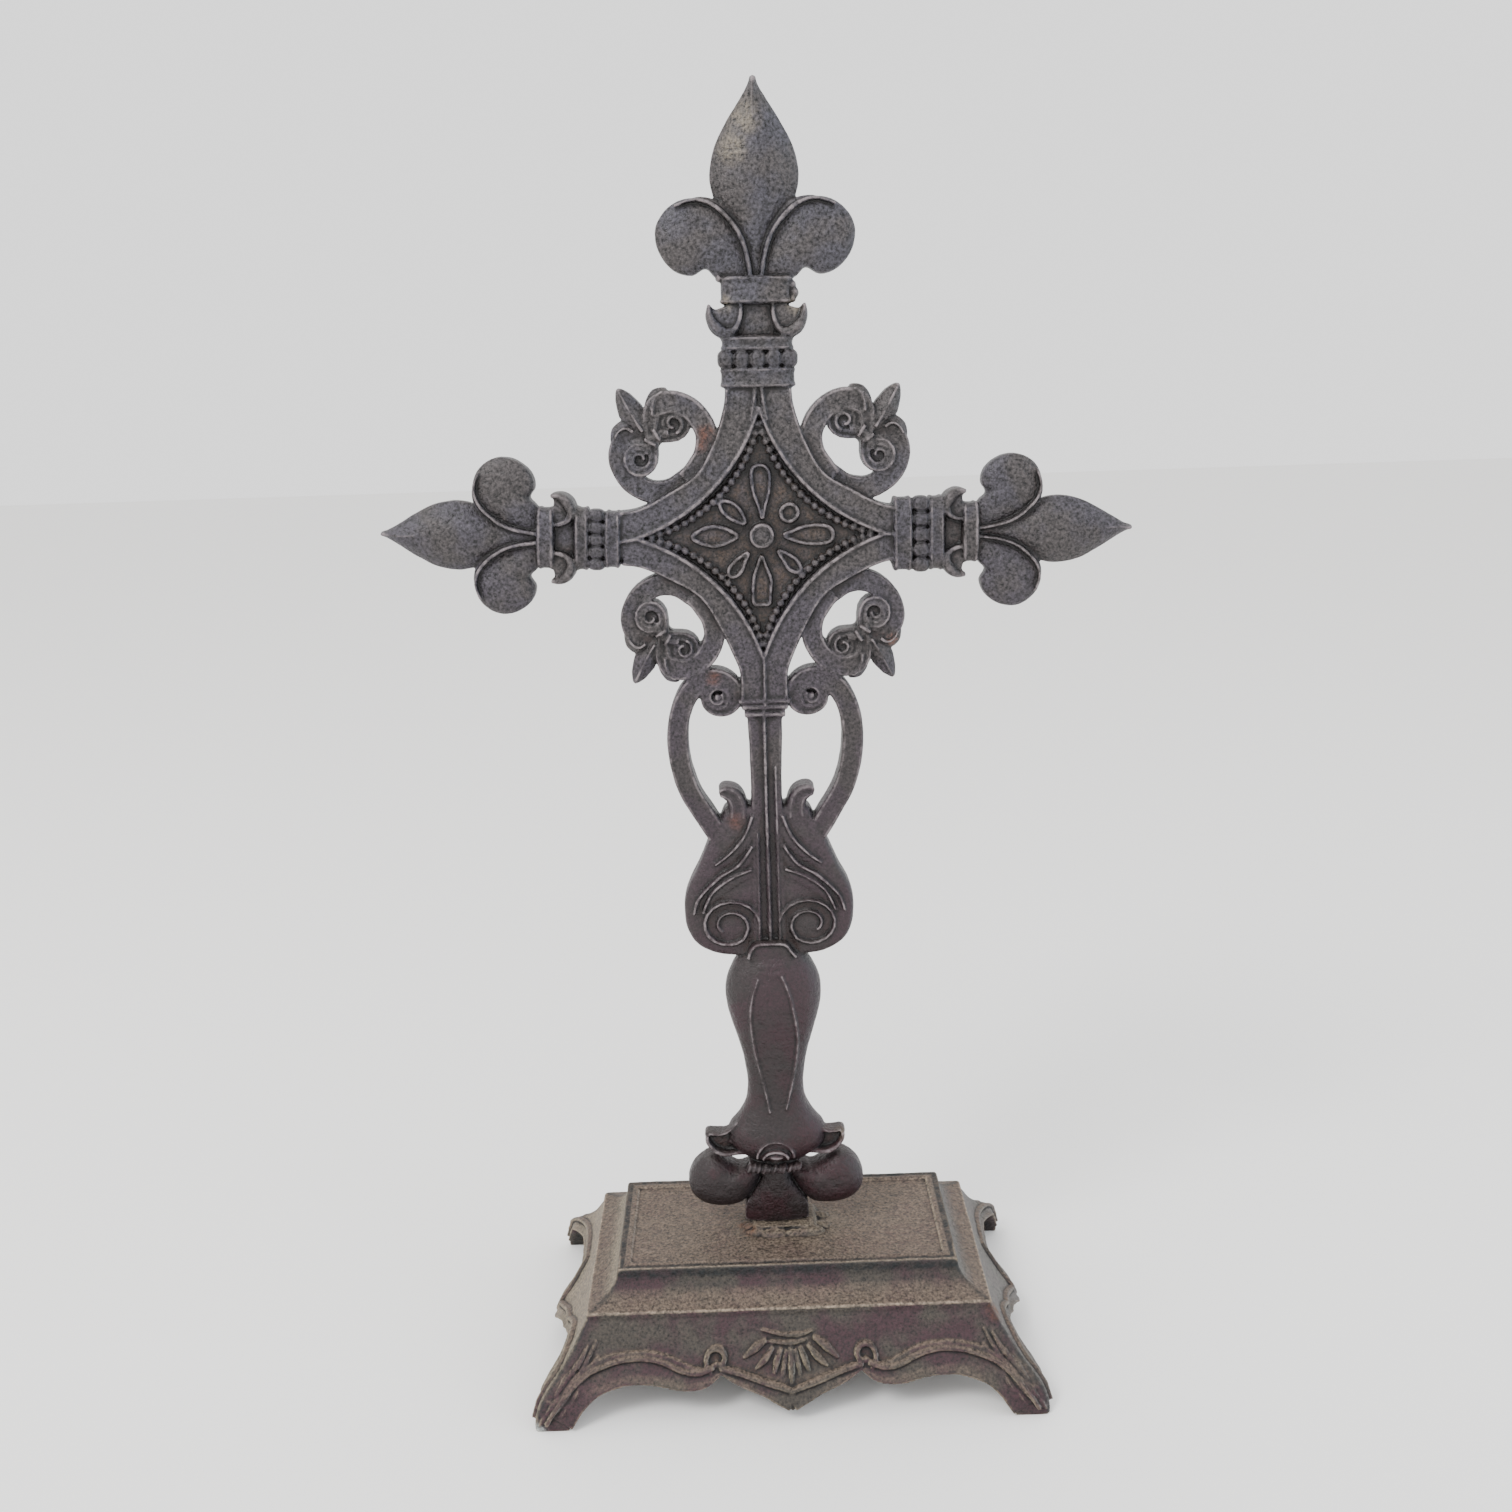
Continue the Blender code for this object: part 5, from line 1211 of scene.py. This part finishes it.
def iron_finish(name, low, high, worn, wear, rust, dust, dust_share, rough, pitted, stains_and_painted_highlights, sides):
    """Cast iron: tones by height, grain, rust in hollows, dust on top, painted side light, stains and painted highlight
    lines, worn edges, then painted shade in the hollows.
    """
    material = bpy.data.materials.new(name)
    material.use_nodes = True
    tree = material.node_tree
    shader = tree.nodes["Principled BSDF"]
    place = node(tree, "ShaderNodeTexCoord").outputs["Object"]
    facing = node(tree, "ShaderNodeSeparateXYZ", [("Vector", node(tree, "ShaderNodeNewGeometry").outputs["Normal"])])
    height = node(tree, "ShaderNodeSeparateXYZ", [("Vector", place)]).outputs["Z"]
    fine, wide = kept(tree, "fine_relief"), kept(tree, "wide_relief")
    speckle, pits = grain(tree, place, 0.9, 2.0, 0.6), grain(tree, place, 2.6, 4.0, 0.6)
    patches = grain(tree, place, 17.0)
    mottle = ramp(tree, patches, 0.42, 0.6)
    body = mix(tree, ramp(tree, height, 0.05, 0.34), mix(tree, mottle, *low), mix(tree, mottle, *high))
    hollow = maths(tree, "MULTIPLY", ramp(tree, wide, 0.4, 0.12), ramp(tree, patches, 0.35, 0.55, 0.3, 1.0))
    hollow = maths(tree, "MULTIPLY", hollow, ramp(tree, height, 0.3, 0.2, 0.25, 0.7))
    body = mix(tree, hollow, body, rust)
    lying = maths(tree, "MULTIPLY", ramp(tree, facing.outputs["Z"], 0.6, 0.97),
                  ramp(tree, pits, 0.3, 0.6, 0.6, 1.0))
    body = mix(tree, maths(tree, "MULTIPLY", lying, dust_share), body, dust)
    # Painted side light: faces turned to one side take a painted tone, as if lit from the left and cooled by a blue
    # light from the right.
    for painted_side_tone, turn, share in sides:
        amount = maths(tree, "MULTIPLY", ramp(tree, facing.outputs["X"], 0.35 * turn, 0.8 * turn), share)
        body = mix(tree, amount, body, painted_side_tone)
    # Stains, and on the base also the painted highlight lines.
    for stain_or_highlight, tone, share in stains_and_painted_highlights:
        amount = maths(tree, "MULTIPLY", kept(tree, stain_or_highlight), ramp(tree, pits, 0.4, 0.6, 0.45 * share, share))
        body = mix(tree, amount, body, tone)
    spread = maths(tree, "MULTIPLY", maths(tree, "SUBTRACT", speckle, 0.5), ramp(tree, height, 0.15, 0.25, *pitted))
    body = multiplied(tree, body, maths(tree, "ADD", spread, 1.0))
    bare = maths(tree, "MULTIPLY", ramp(tree, fine, 0.64, 0.95), ramp(tree, pits, 0.38, 0.58, 0.2, 1.0))
    bare = maths(tree, "MULTIPLY", bare, ramp(tree, kept(tree, "unrubbed"), 0.0, 0.7, wear, 0.35 * wear))
    body = mix(tree, bare, body, worn)
    body = mix(tree, maths(tree, "MULTIPLY", kept(tree, "unrubbed"), 0.2), body, "0f0c0d")
    # Painted shade: the wide hollows and the fine creases are darkened towards near-black.
    body = mix(tree, maths(tree, "MULTIPLY", ramp(tree, wide, 0.44, 0.16), 0.5), body, "0b090a")
    body = mix(tree, maths(tree, "MULTIPLY", ramp(tree, fine, 0.46, 0.2), 0.9), body, "080607")
    tree.links.new(body, shader.inputs["Base Color"])
    shader.inputs["Metallic"].default_value = 0.3
    tree.links.new(ramp(tree, speckle, 0.3, 0.7, rough, rough + 0.2), shader.inputs["Roughness"])
    skin = maths(tree, "ADD", maths(tree, "MULTIPLY", speckle, 0.5), pits)
    bump = node(tree, "ShaderNodeBump", [("Height", skin)])
    bump.inputs["Strength"].default_value = 0.85
    bump.inputs["Distance"].default_value = 0.0008
    tree.links.new(bump.outputs["Normal"], shader.inputs["Normal"])
    return material


# The cross turns from red-brown below to blue-grey above; its field is olive-brown.
# Its faces turned to the right are painted a cool blue-grey, as painted side light.
dark_iron = iron_finish("dark cast iron", ("2a151a", "221a1b"), ("37353b", "3a3636"), "8c8284", 0.62, "3c241f",
                        "55504c", 0.2, 0.4, (2.0, 4.8),
                        (("field_floor", "3a2e26", 0.85), ("rust_bleed", "5a3220", 0.6), ("pale_bloom", "6d6455", 0.6)),
                        (("2f343b", 1.0, 0.3),))
# The base is purple-brown under its dust, blue-black along its mouldings, pale on the rough bed.
# Its faces turned to the left are painted a lighter beige and those turned to the right grey, as painted side light.
dusty_iron = iron_finish("dusty cast iron", ("342327", "38332e"), ("342327", "38332e"), "93836f", 0.42, "4a2f24",
                         "5e5146", 0.9, 0.58, (3.6, 3.6),
                         (("blue_black", "14191b", 0.9), ("pale_bed", "6a6152", 0.6), ("rust_bleed", "57331d", 0.8),
                          # The pale lines along the rim and the lip are painted highlights.
                          ("painted_highlight_line", "a08f7c", 0.5), ("bare_chip", "aab0ae", 1.0)),
                         (("6b6a66", 1.0, 0.55), ("8d826d", -1.0, 0.55)))
for casting, finish, slot, solid in ((cross, dark_iron, "dark_cast_iron", "cross"),
                                     (base, dusty_iron, "dusty_cast_iron", "base")):
    casting.data.materials.clear()
    casting.data.materials.append(finish)
    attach(casting, "root")
    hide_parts(solid)
print("finishes:", dark_iron.name, "and", dusty_iron.name)

# %% [markdown]
# ## Floor, light and camera
# A pale floor and a pale sky give an even light, like a white sheet in a studio. A large soft lamp from
# the upper left draws the forms. The camera stands where the photograph's camera stood, worked out from
# the outline of the object.

# %% A pale studio
rest()
bpy.ops.mesh.primitive_plane_add(size=8)
floor = bpy.context.active_object
floor.name = "floor"
paper = bpy.data.materials.new("pale paper")
paper.use_nodes = True
paper.node_tree.nodes["Principled BSDF"].inputs["Base Color"].default_value = colour("f2f1ef")
paper.node_tree.nodes["Principled BSDF"].inputs["Roughness"].default_value = 0.9
floor.data.materials.append(paper)
world = bpy.data.worlds.new("studio")
world.use_nodes = True
world.node_tree.nodes["Background"].inputs["Color"].default_value = colour("fafafa")
world.node_tree.nodes["Background"].inputs["Strength"].default_value = 1.7
bpy.context.scene.world = world


def lamp(name, where, aim, width, power, tint=(1.0, 1.0, 1.0)):
    """A square soft lamp that faces a point."""
    rest()
    bpy.ops.object.light_add(type="AREA", location=where)
    made = bpy.context.active_object
    made.name = name
    made.data.size, made.data.energy, made.data.color = width, power, tint
    made.rotation_euler = (Vector(aim) - Vector(where)).to_track_quat("-Z", "Y").to_euler()
    return made


lamp("key lamp", (-0.9, -0.9, 1.5), (0, 0, 0.2), 0.6, 26)
lamp("cool fill lamp", (1.2, -0.4, 0.7), (0, 0, 0.2), 0.8, 6, (0.78, 0.88, 1.0))

# %% The camera of the photograph
EYE_PLACE = (-5.32 * MM, -464.47 * MM, 326.78 * MM)
YAW, PITCH, ROLL = 0.006029, -0.253542, -0.031229
forward = Vector((sin(YAW) * cos(PITCH), cos(YAW) * cos(PITCH), sin(PITCH)))
level = Vector((cos(YAW), -sin(YAW), 0.0))
upward = level.cross(forward)
right = cos(ROLL) * level + sin(ROLL) * upward
upward = -sin(ROLL) * level + cos(ROLL) * upward
rest()
bpy.ops.object.camera_add(location=EYE_PLACE)
camera = bpy.context.active_object
camera.name = "photo camera"
camera.data.lens, camera.data.sensor_width = 36 * 1501.89 / 1512, 36.0
camera.data.clip_start = 0.01
turn = Matrix((right, upward, -forward)).transposed()
camera.rotation_euler = turn.to_euler()
bpy.context.scene.camera = camera
print("lens of", round(camera.data.lens, 2), "mm")
